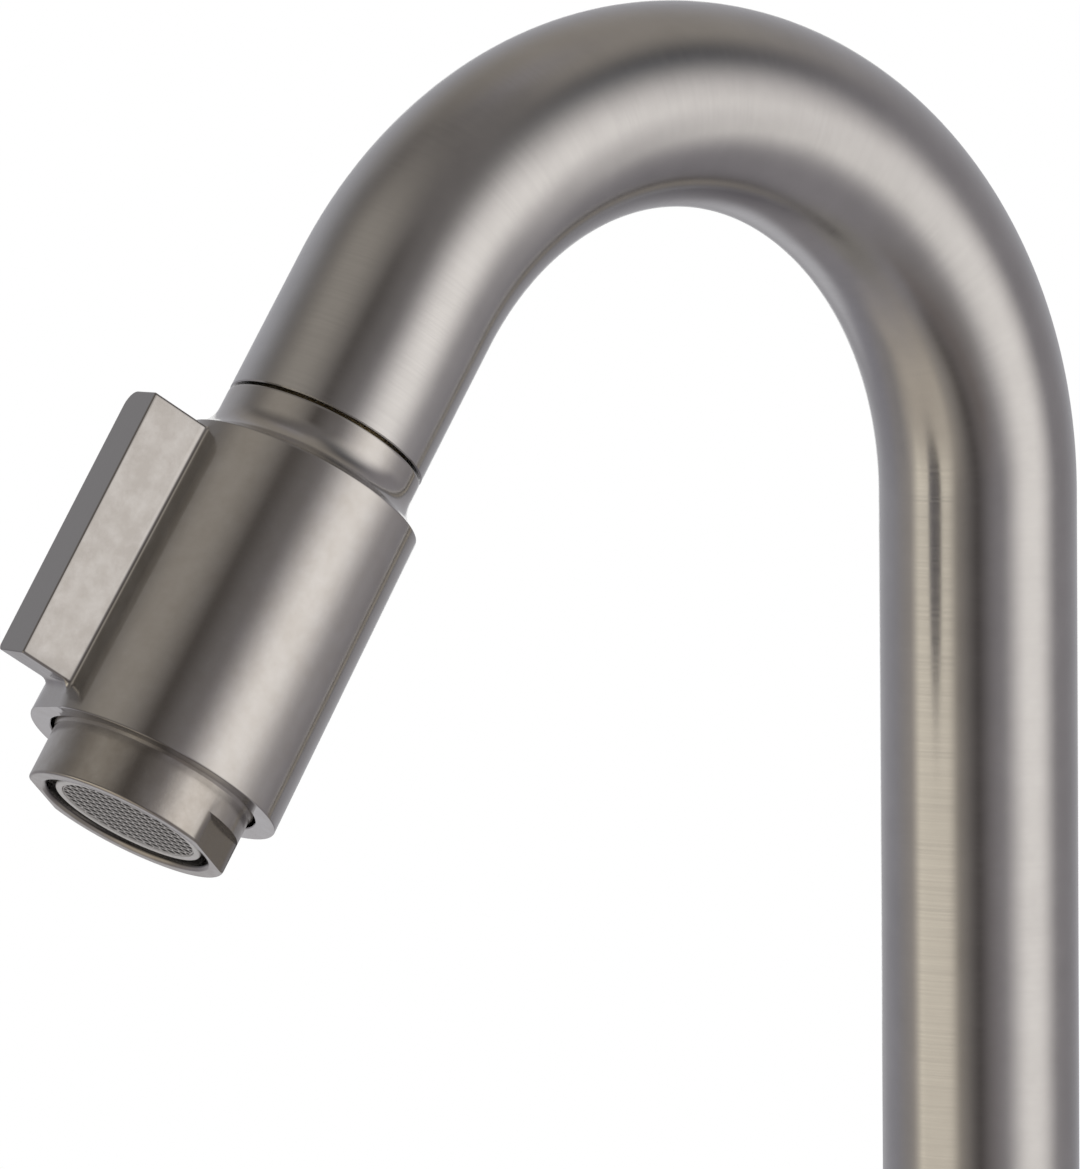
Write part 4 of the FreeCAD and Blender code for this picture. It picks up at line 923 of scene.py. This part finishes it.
# The lever's outer face gets painted shade through face.
cast_steel = cast_metal(
    "cast and brushed stainless steel",
    (0.61, 0.605, 0.60),
    (0.56, 0.545, 0.525),
    roughness=0.14,
    anisotropy=0.45,
    face=(around(1.0, LEVER_ANGLE, 0.0), LEVER_REACH - LEVER_DRAFT - 0.02 * MM, 0.0),
)
GRUB_PLACE = 29.8 * MM
GRUB_HOLE = 1.55 * MM
GRUB_DRILL = 6.0 * MM
sleeve = make_sleeve()
underside = (TIP_FRAME.to_3x3() @ Vector((0, -1, 0))).normalized()
drill(sleeve, TIP_FRAME @ Vector((0, -RIM_RADIUS, GRUB_PLACE)), underside, GRUB_HOLE, GRUB_DRILL)
fit_piece(sleeve, cast_steel, "handle", "turn_sleeve")


# Aerator housing.
# The real piece is a turned stainless ring with two wrench flats, screwed on the nipple inside the sleeve.
# Its lower rim is rounded outside and chamfered inside, and leaves a slot around the insert for the air.

HOUSING_RADIUS = 11.0 * MM
HOUSING_COLLAR = 11.35 * MM
COLLAR_END = 39.62 * MM
COLLAR_TAPER = 0.5 * MM
HOUSING_TOP = 33.99 * MM
HOUSING_END = 46.16 * MM
HOUSING_ROUND = 0.32 * MM
LEAD_IN_RADIUS = 10.2 * MM
LEAD_IN_END = 36.49 * MM
THREAD_RADIUS = 9.8 * MM
THREAD_END = 41.59 * MM
SEAT_RADIUS = 9.45 * MM
LIP_BORE = 9.1 * MM
LIP_PLACE = 44.6 * MM
LIP_CHAMFER = 0.42 * MM
FLAT_TOP = 42.76 * MM
FLAT_DISTANCE = 10.0 * MM
FLAT_TURN = math.radians(-30.0)
FLAT_STEPS = 10
BETWEEN_STEPS = 54


def housing_row(radius, along, flat):
    """One ring of the housing, with columns gathered at the edges of its two flats."""
    points = []
    wide = math.acos(FLAT_DISTANCE / HOUSING_RADIUS)
    edge = math.acos(FLAT_DISTANCE / radius) if flat and radius > FLAT_DISTANCE else wide
    for middle in (FLAT_TURN, FLAT_TURN + math.pi):
        for step in range(FLAT_STEPS):
            turn = edge * (2 * step / FLAT_STEPS - 1)
            reach = min(radius, FLAT_DISTANCE / math.cos(turn)) if flat else radius
            points.append(around(reach, middle + turn, along))
        for step in range(BETWEEN_STEPS):
            turn = middle + edge + (math.pi - 2 * edge) * step / BETWEEN_STEPS
            points.append(around(radius, turn, along))
    return points


def make_housing():
    """The housing as rings around the outlet, from its top over the outside and back up the bore."""
    rows = [
        (LEAD_IN_RADIUS, HOUSING_TOP),
        (HOUSING_COLLAR - 0.1 * MM, HOUSING_TOP),
        (HOUSING_COLLAR, HOUSING_TOP + 0.1 * MM),
        (HOUSING_COLLAR, COLLAR_END - 0.1 * MM),
        (HOUSING_COLLAR - 0.02 * MM, COLLAR_END),
        (HOUSING_RADIUS + 0.02 * MM, COLLAR_END + COLLAR_TAPER),
        (HOUSING_RADIUS, COLLAR_END + COLLAR_TAPER + 0.1 * MM),
        (HOUSING_RADIUS, FLAT_TOP - 2 * MM),
        (HOUSING_RADIUS, FLAT_TOP),
    ]
    flat_start = len(rows)
    round_start = HOUSING_END - HOUSING_ROUND
    rows += [(HOUSING_RADIUS, along) for along in (FLAT_TOP, round_start - 0.1 * MM, round_start - 0.02 * MM)]
    for degrees in range(0, 91, 15):
        turn = math.radians(degrees)
        across = HOUSING_RADIUS - HOUSING_ROUND * (1 - math.cos(turn))
        rows.append((across, HOUSING_END - HOUSING_ROUND * (1 - math.sin(turn))))
    rows.append((HOUSING_RADIUS - HOUSING_ROUND - 0.1 * MM, HOUSING_END))
    flat_end = len(rows)
    rows += [
        (LIP_BORE + LIP_CHAMFER + 0.03 * MM, HOUSING_END),
        (LIP_BORE + LIP_CHAMFER - 0.04 * MM, HOUSING_END - 0.02 * MM),
        (LIP_BORE + 0.02 * MM, HOUSING_END - LIP_CHAMFER + 0.06 * MM),
        (LIP_BORE, HOUSING_END - LIP_CHAMFER),
        (LIP_BORE, LIP_PLACE),
        (SEAT_RADIUS, LIP_PLACE),
        (SEAT_RADIUS, THREAD_END),
        (THREAD_RADIUS, THREAD_END),
        (THREAD_RADIUS, LEAD_IN_END),
        (LEAD_IN_RADIUS, LEAD_IN_END),
    ]
    columns = 2 * (FLAT_STEPS + BETWEEN_STEPS)
    points, turning = [], []
    run = 0.0
    for number, (radius, along) in enumerate(rows):
        points += housing_row(radius, along, flat_start <= number < flat_end)
        if number:
            run += math.hypot(radius - rows[number - 1][0], along - rows[number - 1][1])
        turning += [turning_place(run, 2 * math.pi * column / columns) for column in range(columns)]
    placed = [TIP_FRAME @ point for point in points]
    return build_piece("aerator_housing_turned", placed, ring_faces(len(rows), columns), points, turning)


# Painted shade on the two wrench flats, through face, and inside the lip's bore, through bore.
turned_steel = cast_metal(
    "turned stainless steel",
    (0.58, 0.565, 0.54),
    (0.49, 0.465, 0.43),
    roughness=0.2,
    anisotropy=0.3,
    wave=0.016 * MM,
    spots=500.0,
    bore=LIP_BORE + 0.04 * MM,
    face=(around(1.0, FLAT_TURN, 0.0), FLAT_DISTANCE - 0.03 * MM, FLAT_TOP + 0.02 * MM),
    face_shade_tone=0.82,
)
fit_piece(make_housing(), turned_steel, "aerator_shell", "aerator_housing")


# Valve in the tip.
# A brass socket brazed in the tube takes the valve's body, which holds two lapped ceramic discs and their
# seals. A hollow spindle turns the lower disc between two stops, and a gland nut closes the chamber.

ORING_MIDDLE = 6.3 * MM
BODY_ORING = (6.8 * MM, -3.0 * MM)
SPINDLE_ORINGS = (23.22 * MM, 25.42 * MM)
NIPPLE_ORING = 28.8 * MM
SEAT_SEAL_RADII = (4.5 * MM, 7.8 * MM)
SEAT_SEAL_ENDS = (9.0 * MM, 10.6 * MM)
SEAT_SEAL_EDGE = 0.3 * MM

tip_brass = turned_metal("turned brass of the valve", BRASS, DULL_BRASS, roughness=0.25, place=TIP_FRAME)
for node in ("tip_socket", "cartridge_body", "gland_nut", "spindle", "outlet_nipple"):
    dress(node, tip_brass)
stop_steel = turned_metal(
    "machined stainless steel", (0.60, 0.585, 0.57), (0.50, 0.49, 0.48),
    roughness=0.27, place=TIP_FRAME, pitch=5000.0, ring_depth=0.003 * MM,
)
dress("stop_ring", stop_steel)
lapped_ceramic = moulded(
    "lapped ceramic", (0.86, 0.85, 0.82), (0.80, 0.79, 0.75),
    roughness=0.16, depth=0.0015 * MM, place=TIP_FRAME, grain=6000.0, marks=300.0,
)
bearing_plastic = moulded(
    "white bearing plastic", (0.80, 0.79, 0.76), (0.74, 0.73, 0.69),
    roughness=0.38, depth=0.004 * MM, place=TIP_FRAME, grain=3000.0,
)
for node in ("fixed_disc", "turning_disc"):
    dress(node, lapped_ceramic)
for node in ("neck_bush", "thrust_washer"):
    dress(node, bearing_plastic)

seat_outline = ring_section(*SEAT_SEAL_RADII, *SEAT_SEAL_ENDS, SEAT_SEAL_EDGE)
spindle_wires = [wire_section(ORING_MIDDLE, along) for along in SPINDLE_ORINGS]
rubber_piece("body_oring_moulded", [wire_section(*BODY_ORING)], TIP_FRAME, "spout", "body_oring")
rubber_piece("seat_seal_moulded", [seat_outline], TIP_FRAME, "spout", "seat_seal")
rubber_piece("spindle_orings_moulded", spindle_wires, TIP_FRAME, "handle", "spindle_orings")


# Outlet nipple's seal and the sleeve's grub screw.
# The nipple sits on the spindle's hexagon and its O-ring keeps the water in; one black screw through the
# sleeve's underside holds the sleeve on it.
# The screw is oxide-blacked steel, bright where the key has rubbed it.

nipple_wire = wire_section(ORING_MIDDLE, NIPPLE_ORING)
rubber_piece("nipple_oring_moulded", [nipple_wire], TIP_FRAME, "handle", "nipple_oring")


def black_oxide():
    """Blacked steel, browner and brighter where it has been rubbed."""
    material, tree = new_material("blacked steel")
    inputs = {"Vector": own_place(tree, TIP_FRAME), "Grain": 5000.0, "Marks": 900.0}
    speckle = add_node(tree, "ShaderNodeGroup", inputs, node_tree=FINE_SPECKLE).outputs
    worn = remap(tree, speckle["Handling"], 0.0, 1.0)
    shade = mixed(tree, worn, (0.035, 0.036, 0.040), (0.11, 0.10, 0.09))
    rough = remap(tree, speckle["Speckle"], 0.30, 0.48)
    surface(tree, shade, rough, bumped(tree, speckle["Speckle"], 0.003 * MM), Metallic=1.0)
    return material


dress("sleeve_grub_screw", black_oxide())


# Aerator's insert.
# A moulded cage stands in the housing: a sieve and a jet plate at its top break the water up and draw in
# air. Its lower ring holds the moulded honeycomb grid that straightens the stream.

CAGE_TOP = 38.4 * MM
SEAL_TOP = 41.0 * MM
SEAL_END = 42.2 * MM
SEAL_BORE = 8.0 * MM
FLANGE_BOTTOM = 42.9 * MM
CAGE_END = 45.66 * MM
CAGE_EDGE = 0.12 * MM
CAGE_RADIUS = 7.9 * MM
CAGE_BORE = 7.3 * MM
INSERT_RADIUS = 9.35 * MM
RING_RADIUS = 8.2 * MM
OUTLET_RADIUS = 7.44 * MM
LEDGE_RADIUS = 6.6 * MM
LEDGE_PLACE = 40.6 * MM
LEDGE_END = 41.4 * MM
RIB_END = 44.55 * MM
RIB_HALF = 0.5 * MM
RIB_COUNT = 8
RIB_START = math.radians(22.5)
AIR_WINDOW_HALF = 1.3 * MM
AIR_WINDOW_END = 43.9 * MM
SEAL_EDGE = 0.25 * MM
CAGE_COLUMNS = 144

seal_outline = ring_section(SEAL_BORE, INSERT_RADIUS, SEAL_TOP, SEAL_END, SEAL_EDGE)
rubber_piece("aerator_seal_moulded", [seal_outline], TIP_FRAME, "aerator_insert", "aerator_seal")


def add_solid(sculpt, levels):
    """Adds a closed solid that goes through flat outlines of the same count, one above another."""
    rings = [[sculpt.verts.new(corner) for corner in level] for level in levels]
    sculpt.faces.new(list(reversed(rings[0])))
    sculpt.faces.new(rings[-1])
    for lower, upper in zip(rings, rings[1:]):
        for face in bridge(lower, upper):
            sculpt.faces.new(face)


def add_block(sculpt, turn, corners, low, high):
    """Adds a straight block between two heights, its corners turned about the axis."""
    turned = [Matrix.Rotation(turn, 2) @ Vector(corner) for corner in corners]
    add_solid(sculpt, [[(corner.x, corner.y, along) for corner in turned] for along in (low, high)])


def join_or_cut(piece, sculpt, operation, place):
    """Joins the blocks of a sculpt to a moulded piece, or cuts them out of it."""
    bmesh.ops.recalc_face_normals(sculpt, faces=sculpt.faces)
    mesh = bpy.data.meshes.new("tool")
    sculpt.to_mesh(mesh)
    sculpt.free()
    mesh.attributes.new("grain", "FLOAT_VECTOR", "POINT")
    layer = mesh.uv_layers.new(name="turning")
    for loop in mesh.loops:
        corner = mesh.vertices[loop.vertex_index].co
        layer.data[loop.index].uv = turning_place(corner.z, math.atan2(corner.y, corner.x))
    mesh.transform(place)
    reshape(piece, bpy.data.objects.new("tool", mesh), operation, place)
    piece.data.set_sharp_from_angle(angle=SHARP_ANGLE)


def make_cage():
    """The cage as a turned wall with eight ribs under its flange and eight windows for air between them."""
    corners = [
        (CAGE_BORE, CAGE_TOP, CAGE_EDGE),
        (CAGE_RADIUS, CAGE_TOP, CAGE_EDGE),
        (CAGE_RADIUS, SEAL_END, 0),
        (INSERT_RADIUS, SEAL_END, CAGE_EDGE),
        (INSERT_RADIUS, FLANGE_BOTTOM, CAGE_EDGE),
        (RING_RADIUS, FLANGE_BOTTOM, 0),
        (RING_RADIUS, CAGE_END, 0.2 * MM),
        (OUTLET_RADIUS, CAGE_END, 0.1 * MM),
        (OUTLET_RADIUS, LEDGE_END, 0),
        (LEDGE_RADIUS, LEDGE_END, CAGE_EDGE),
        (LEDGE_RADIUS, LEDGE_PLACE, CAGE_EDGE),
        (CAGE_BORE, LEDGE_PLACE, 0),
    ]
    outline = rounded(corners, steps=4, support=0.02 * MM)
    cage = turned_piece("aerator_cage_moulded", [outline], TIP_FRAME, columns=CAGE_COLUMNS)
    root, tip = RING_RADIUS - 0.3 * MM, INSERT_RADIUS - 0.02 * MM
    tip_half = RIB_HALF - 0.06 * MM
    rib = [(root, -RIB_HALF), (tip, -tip_half), (tip, tip_half), (root, RIB_HALF)]
    inside, outside = OUTLET_RADIUS - 0.5 * MM, RING_RADIUS + 0.5 * MM
    gap = [(inside, -AIR_WINDOW_HALF), (outside, -AIR_WINDOW_HALF)]
    gap += [(outside, AIR_WINDOW_HALF), (inside, AIR_WINDOW_HALF)]
    ribs, windows = bmesh.new(), bmesh.new()
    for number in range(RIB_COUNT):
        turn = RIB_START + 2 * math.pi * number / RIB_COUNT
        add_block(ribs, turn, rib, FLANGE_BOTTOM - 0.2 * MM, RIB_END)
        add_block(windows, turn - math.pi / RIB_COUNT, gap, FLANGE_BOTTOM + 0.002 * MM, AIR_WINDOW_END)
    join_or_cut(cage, ribs, "UNION", TIP_FRAME)
    join_or_cut(cage, windows, "DIFFERENCE", TIP_FRAME)
    return cage


GRID_TOP = 43.95 * MM
GRID_END = 45.51 * MM
GRID_RADIUS = 7.39 * MM
GRID_EDGE = 0.05 * MM
GRID_MIDDLE = 0.02 * MM
CELL_PITCH = 1.12 * MM
CELL_WEB = 0.22 * MM
CELL_REACH = 7.26 * MM
CELL_LEAST = 0.12 * MM
CELL_MIDDLE = 0.45 * MM
CELL_FLARE = 0.0525 * MM
HALVINGS = 23
GRID_COLUMNS = 96


def cell_outline(centre):
    """A six-sided cell, cut off where it would run out of the grid's rim."""
    radius = (CELL_PITCH - CELL_WEB) / math.sqrt(3)
    turns = [math.radians(60 * number + 30) for number in range(6)]
    corners = [centre + Vector((radius * math.cos(turn), radius * math.sin(turn))) for turn in turns]
    kept = []
    for number, corner in enumerate(corners):
        before = corners[number - 1]
        if (corner.length < CELL_REACH) != (before.length < CELL_REACH):
            low, high = (before, corner) if before.length < CELL_REACH else (corner, before)
            share = 0.0
            for halving in range(1, HALVINGS + 1):
                if low.lerp(high, share + 0.5 ** halving).length < CELL_REACH:
                    share += 0.5 ** halving
            kept.append(low.lerp(high, share))
        if corner.length < CELL_REACH:
            kept.append(corner)
    return kept


def cell_centres():
    """The middle of each cell, row by row, as far as the grid's rim."""
    row_pitch = CELL_PITCH * math.sqrt(0.75)
    rows = int(CELL_REACH / row_pitch) + 1
    for row in range(-rows, rows + 1):
        for column in range(-rows - 1, rows + 2):
            centre = Vector((column * CELL_PITCH + (CELL_PITCH / 2 if row % 2 else 0.0), row * row_pitch))
            if centre.length <= CELL_REACH + 0.1 * MM:
                yield centre


def make_grid():
    """The honeycomb: a disc with every cell cut through it, each a little wider at its mouth."""
    outline = [
        Vector((GRID_MIDDLE, GRID_TOP)),
        Vector((GRID_RADIUS, GRID_TOP)),
        Vector((GRID_RADIUS, GRID_END - GRID_EDGE)),
        Vector((GRID_RADIUS - GRID_EDGE, GRID_END)),
        Vector((GRID_MIDDLE, GRID_END)),
    ]
    grid = turned_piece("outlet_grid_moulded", [outline], TIP_FRAME, columns=GRID_COLUMNS)
    mouth = GRID_END + 0.06 * MM
    levels = ((GRID_TOP - 0.3 * MM, 0.0), (GRID_END - 0.12 * MM, 0.0), (mouth, CELL_FLARE / CELL_MIDDLE))
    cells = bmesh.new()
    for centre in cell_centres():
        flat = cell_outline(centre)
        if len(flat) < 3:
            continue
        middle = sum(flat, Vector((0.0, 0.0))) / len(flat)
        if min((corner - middle).length for corner in flat) < CELL_LEAST:
            continue
        spread = [[middle + (corner - middle) * (1 + flare) for corner in flat] for _, flare in levels]
        heights = [along for along, _ in levels]
        add_solid(cells, [[(*corner, along) for corner in ring] for ring, along in zip(spread, heights)])
    join_or_cut(grid, cells, "DIFFERENCE", TIP_FRAME)
    return grid


insert_plastic = moulded(
    "light grey plastic", (0.66, 0.635, 0.62), (0.58, 0.555, 0.54),
    roughness=0.4, depth=0.004 * MM, grain=3200.0, marks=260.0,
)
# Painted shade in the honeycomb's cells: full 0.14 mm below its face, gone 0.03 mm below it.
painted_cell_shade = (GRID_END - 0.14 * MM, GRID_END - 0.03 * MM, (0.025, 0.023, 0.022))
grid_plastic = moulded(
    "light grey plastic of the grid", (0.56, 0.53, 0.515), (0.46, 0.435, 0.42),
    roughness=0.4, depth=0.003 * MM, marks=420.0, cells=painted_cell_shade,
)
fit_piece(make_cage(), insert_plastic, "aerator_insert", "aerator_cage")
fit_piece(make_grid(), grid_plastic, "aerator_insert", "outlet_grid")

jet_plastic = moulded(
    "off-white jet plastic", (0.60, 0.59, 0.56), (0.52, 0.51, 0.47),
    roughness=0.4, depth=0.004 * MM, place=TIP_FRAME, marks=260.0,
)
dress("jet_plate", jet_plastic)

SIEVE_PITCH = 0.5 * MM


def sieve_mesh():
    """Moulded sieve: a fine square mesh drawn as threads, with painted shade in the gaps between them."""
    material, tree = new_material("white plastic sieve")
    parts = add_node(tree, "ShaderNodeSeparateXYZ", {"Vector": own_place(tree, TIP_FRAME)}).outputs
    phases = [maths(tree, "MULTIPLY", parts[side], 2 * math.pi / SIEVE_PITCH) for side in ("X", "Y")]
    waves = [maths(tree, "SINE", phase) for phase in phases]
    thread = maths(tree, "MAXIMUM", waves[0], waves[1])
    solid = remap(tree, thread, 0.0, 1.0, 0.2, 0.5)
    # Painted shade: the gaps between the threads take a near-black colour.
    shade = mixed(tree, solid, (0.10, 0.10, 0.095), (0.76, 0.75, 0.71))
    rough = remap(tree, thread, 0.7, 0.38, -1.0, 1.0)
    surface(tree, shade, rough, bumped(tree, solid, 0.04 * MM))
    return material


dress("inlet_sieve", sieve_mesh())


# Camera.
# A long lens from the right of the spout, a little above it, as the photograph was taken.

CAMERA_PLACE = Vector((0.582348, -0.516327, 0.228152))
CAMERA_TARGET = Vector((0.0, -0.061823, 0.158658))
CAMERA_ROLL = math.radians(-0.6289)
SENSOR_HEIGHT = 36.0
LENS = 215.977
camera_data = bpy.data.cameras.new("camera")
camera_data.sensor_fit = "VERTICAL"
camera_data.sensor_height = SENSOR_HEIGHT
camera_data.lens = LENS
camera = bpy.data.objects.new("camera", camera_data)
bpy.context.scene.collection.objects.link(camera)
camera.location = CAMERA_PLACE
aim = (CAMERA_TARGET - CAMERA_PLACE).to_track_quat("-Z", "Y")
camera.rotation_mode = "QUATERNION"
camera.rotation_quaternion = aim @ Euler((0, 0, CAMERA_ROLL)).to_quaternion()
bpy.context.scene.camera = camera


# Floor, white surroundings and light tent.
# The floor is plain and white, and the tent's grey and white panels are what the metal mirrors.

FLOOR_HEIGHT = -50.5 * MM
FLOOR_HALF = 3.0
FLOOR_FADE = (0.25, 0.7)
PLAIN_WHITE = (1.0, 1.0, 1.0, 1.0)
FLOOR_COLOUR = (0.9, 0.9, 0.9, 1.0)
WORLD_LIGHT = 0.72


def white_share(tree):
    """One for rays that should see plain white: from the camera, a mirror or glass."""
    path = add_node(tree, "ShaderNodeLightPath").outputs
    first = maths(tree, "ADD", path["Is Camera Ray"], path["Is Glossy Ray"])
    return maths(tree, "ADD", first, path["Is Transmission Ray"], use_clamp=True)


floor_mesh = bpy.data.meshes.new("floor")
sides = ((-1, -1), (1, -1), (1, 1), (-1, 1))
floor_corners = [(FLOOR_HALF * across, FLOOR_HALF * back, FLOOR_HEIGHT) for across, back in sides]
floor_mesh.from_pydata(floor_corners, [], [(0, 1, 2, 3)])
floor = bpy.data.objects.new("floor", floor_mesh)
bpy.context.scene.collection.objects.link(floor)
floor_material, tree = new_material("white floor")
spot = add_node(tree, "ShaderNodeTexCoord").outputs["Object"]
distance = add_node(tree, "ShaderNodeVectorMath", {0: spot}, operation="LENGTH").outputs["Value"]
far = remap(tree, distance, 0.0, 1.0, *FLOOR_FADE, interpolation_type="SMOOTHSTEP")
glow_share = maths(tree, "MULTIPLY", far, white_share(tree))
matt = add_node(tree, "ShaderNodeBsdfDiffuse", {"Color": FLOOR_COLOUR}).outputs[0]
glow = add_node(tree, "ShaderNodeEmission", {"Color": PLAIN_WHITE, "Strength": 1.0}).outputs[0]
shared = add_node(tree, "ShaderNodeMixShader", {0: glow_share, 1: matt, 2: glow}).outputs[0]
underneath = add_node(tree, "ShaderNodeNewGeometry").outputs["Backfacing"]
clear = add_node(tree, "ShaderNodeBsdfTransparent").outputs[0]
one_sided = add_node(tree, "ShaderNodeMixShader", {0: underneath, 1: shared, 2: clear}).outputs[0]
add_node(tree, "ShaderNodeOutputMaterial", {"Surface": one_sided})
floor_mesh.materials.append(floor_material)
floor.visible_glossy = False

world = bpy.data.worlds.new("studio")
bpy.context.scene.world = world
world.use_nodes = True
tree = world.node_tree
tree.nodes.clear()
strength = remap(tree, white_share(tree), WORLD_LIGHT, 1.0, 0.0, 1.0)
sky = add_node(tree, "ShaderNodeBackground", {"Color": PLAIN_WHITE, "Strength": strength}).outputs[0]
add_node(tree, "ShaderNodeOutputWorld", {"Surface": sky})

TENT_RADIUS = 2.6
TENT_ROWS = 36
TENT_COLUMNS = 72
OPENING_HALF = 2
TENT_CENTRE = Vector((0.0, -0.05, 0.16))
TENT_TURN = math.atan2(CAMERA_PLACE.y - CAMERA_TARGET.y, CAMERA_PLACE.x - CAMERA_TARGET.x)
TENT_GREY = (0.29, 0.27, 0.28)
# Each panel: its name, the direction of its middle round from the camera, positive to the right, and its
# height, half width and half height, softness of its sides and of its ends, all in degrees, its colour.
# Most of these numbers are a least-squares fit to the photograph's colours, made by a separate program.
TENT_PANELS = (
    ("overhead band", 0, 58, 400.0, 21.8, 20.0, 15.0, (0.324, 0.292, 0.260)),
    ("upper left", -27, 55, 88.4, 35.4, 28.9, 16.9, (0.185, 0.170, 0.164)),
    ("left wall", -70, 14, 65.8, 65.7, 42.2, 24.0, (0.142, 0.129, 0.120)),
    ("upper right", 77, 42, 28.1, 15.1, 23.3, 14.0, (0.056, 0.059, 0.070)),
    ("low behind right", 147, -61, 14.3, 41.0, 42.5, 26.7, (0.069, 0.064, 0.076)),
    ("behind", -164, 5, 54.1, 29.2, 32.9, 31.1, (0.464, 0.461, 0.482)),
    ("low left", -95, -34, 52.9, 31.0, 16.8, 33.4, (0.295, 0.282, 0.307)),
    ("bright low left", -58, -22, 24.6, 20.0, 8.0, 8.0, (1.66, 1.52, 1.25)),
    ("warm low left", -62, -32, 41.4, 26.6, 20.3, 23.5, (0.534, 0.470, 0.395)),
    ("left corner", -99, -31, 8.0, 19.5, 25.1, 5.7, (0.225, 0.214, 0.223)),
    ("bright right", 63, 2, 22.4, 25.6, 17.4, 31.9, (1.165, 1.101, 1.047)),
    ("low right", 65, -22, 25.9, 1.7, 43.7, 18.0, (1.160, 1.100, 1.030)),
    ("warm upper left", -56, 50, 37.2, 14.2, 31.3, 18.1, (0.385, 0.35, 0.31)),
    ("narrow left", -76, -13, 2.3, 0.9, 3.4, 13.9, (1.217, 1.107, 0.892)),
    ("low front", -13, -38, 9.9, 12.1, 9.2, 12.1, (0.367, 0.333, 0.305)),
    ("low front right", 29, -50, 2.4, 29.9, 27.5, 7.8, (0.256, 0.233, 0.213)),
    ("dark front", -3, -5, 5.2, 48.4, 18.4, 6.3, (0.029, 0.021, 0.016)),
    ("narrow low front", 14, -37, 4.7, 24.6, 17.6, 4.8, (0.163, 0.133, 0.118)),
    ("low behind", -164, -34, 22.0, 11.0, 10.0, 8.0, (0.56, 0.55, 0.57)),
    ("underneath", 0, -90, 400.0, 15.0, 20.0, 8.0, (0.27, 0.25, 0.23)),
)


def make_tent():
    """A round tent, open behind the object so that metal shows the white surroundings there."""
    vertices = [Vector((0, 0, TENT_RADIUS)), Vector((0, 0, -TENT_RADIUS))]
    for row in range(1, TENT_ROWS):
        height = math.pi / 2 - math.pi * row / TENT_ROWS
        for column in range(TENT_COLUMNS):
            turn = 2 * math.pi * column / TENT_COLUMNS
            vertices.append(around(TENT_RADIUS * math.cos(height), turn, TENT_RADIUS * math.sin(height)))
    rings = [range(2 + row * TENT_COLUMNS, 2 + (row + 1) * TENT_COLUMNS) for row in range(TENT_ROWS - 1)]
    faces = [(0, rings[0][column - 1], rings[0][column]) for column in range(TENT_COLUMNS)]
    faces += [(1, rings[-1][column], rings[-1][column - 1]) for column in range(TENT_COLUMNS)]
    for row in range(TENT_ROWS - 2):
        from_level = abs(row + 1.5 - TENT_ROWS / 2)
        for column, face in enumerate(bridge(rings[row + 1], rings[row])):
            from_back = abs(column + 0.5 - TENT_COLUMNS / 2)
            if from_level > OPENING_HALF or from_back > OPENING_HALF:
                faces.append(face)
    mesh = bpy.data.meshes.new("tent")
    mesh.from_pydata(vertices, [], faces)
    tent = bpy.data.objects.new("tent", mesh)
    tent.location = TENT_CENTRE
    tent.rotation_euler = (0, 0, TENT_TURN)
    bpy.context.scene.collection.objects.link(tent)
    return tent


def soft_panel_group():
    """A soft-edged panel on the tent: one inside, falling to nothing over its softness."""
    sizes = ("Middle Turn", "Middle Height", "Half Width", "Half Height", "Soft Sides", "Soft Ends")
    group, entry = new_group("soft panel", {name: 0.0 for name in ("Turn", "Height", *sizes)})
    around_it = maths(group, "SUBTRACT", entry["Turn"], entry["Middle Turn"])
    around_it = maths(group, "FLOORED_MODULO", maths(group, "ADD", around_it, 540.0), 360.0)
    around_it = maths(group, "SUBTRACT", around_it, 180.0)
    up_it = maths(group, "SUBTRACT", entry["Height"], entry["Middle Height"])
    masks = []
    for away, half, soft in ((around_it, "Half Width", "Soft Sides"), (up_it, "Half Height", "Soft Ends")):
        least = maths(group, "SUBTRACT", entry[half], entry[soft])
        most = maths(group, "ADD", entry[half], entry[soft])
        off = maths(group, "ABSOLUTE", away)
        masks.append(remap(group, off, 1.0, 0.0, least, most, interpolation_type="SMOOTHSTEP"))
    return close_group(group, {"Mask": maths(group, "MULTIPLY", masks[0], masks[1])})


tent = make_tent()
tent_material, tree = new_material("tent panels")
spot = add_node(tree, "ShaderNodeTexCoord").outputs["Object"]
parts = add_node(tree, "ShaderNodeSeparateXYZ", {"Vector": spot}).outputs
turn = maths(tree, "DEGREES", maths(tree, "ARCTAN2", parts["Y"], parts["X"]))
lift = maths(tree, "DEGREES", maths(tree, "ARCSINE", maths(tree, "DIVIDE", parts["Z"], TENT_RADIUS)))
panel_group = soft_panel_group()
colour = TENT_GREY
for name, middle, height, half_width, half_height, soft_sides, soft_ends, paint in TENT_PANELS:
    inputs = {"Turn": turn, "Middle Turn": middle, "Half Width": half_width, "Soft Sides": soft_sides}
    inputs |= {"Height": lift, "Middle Height": height, "Half Height": half_height, "Soft Ends": soft_ends}
    panel = add_node(tree, "ShaderNodeGroup", inputs, node_tree=panel_group, label=name)
    colour = mixed(tree, panel.outputs["Mask"], colour, paint)
panel_light = add_node(tree, "ShaderNodeEmission", {"Color": colour, "Strength": 1.0}).outputs[0]
add_node(tree, "ShaderNodeOutputMaterial", {"Surface": panel_light})
tent.data.materials.append(tent_material)
tent.visible_camera = False
tent.visible_diffuse = False
tent.visible_transmission = False
tent.visible_shadow = False

bpy.context.scene.view_settings.view_transform = "Standard"
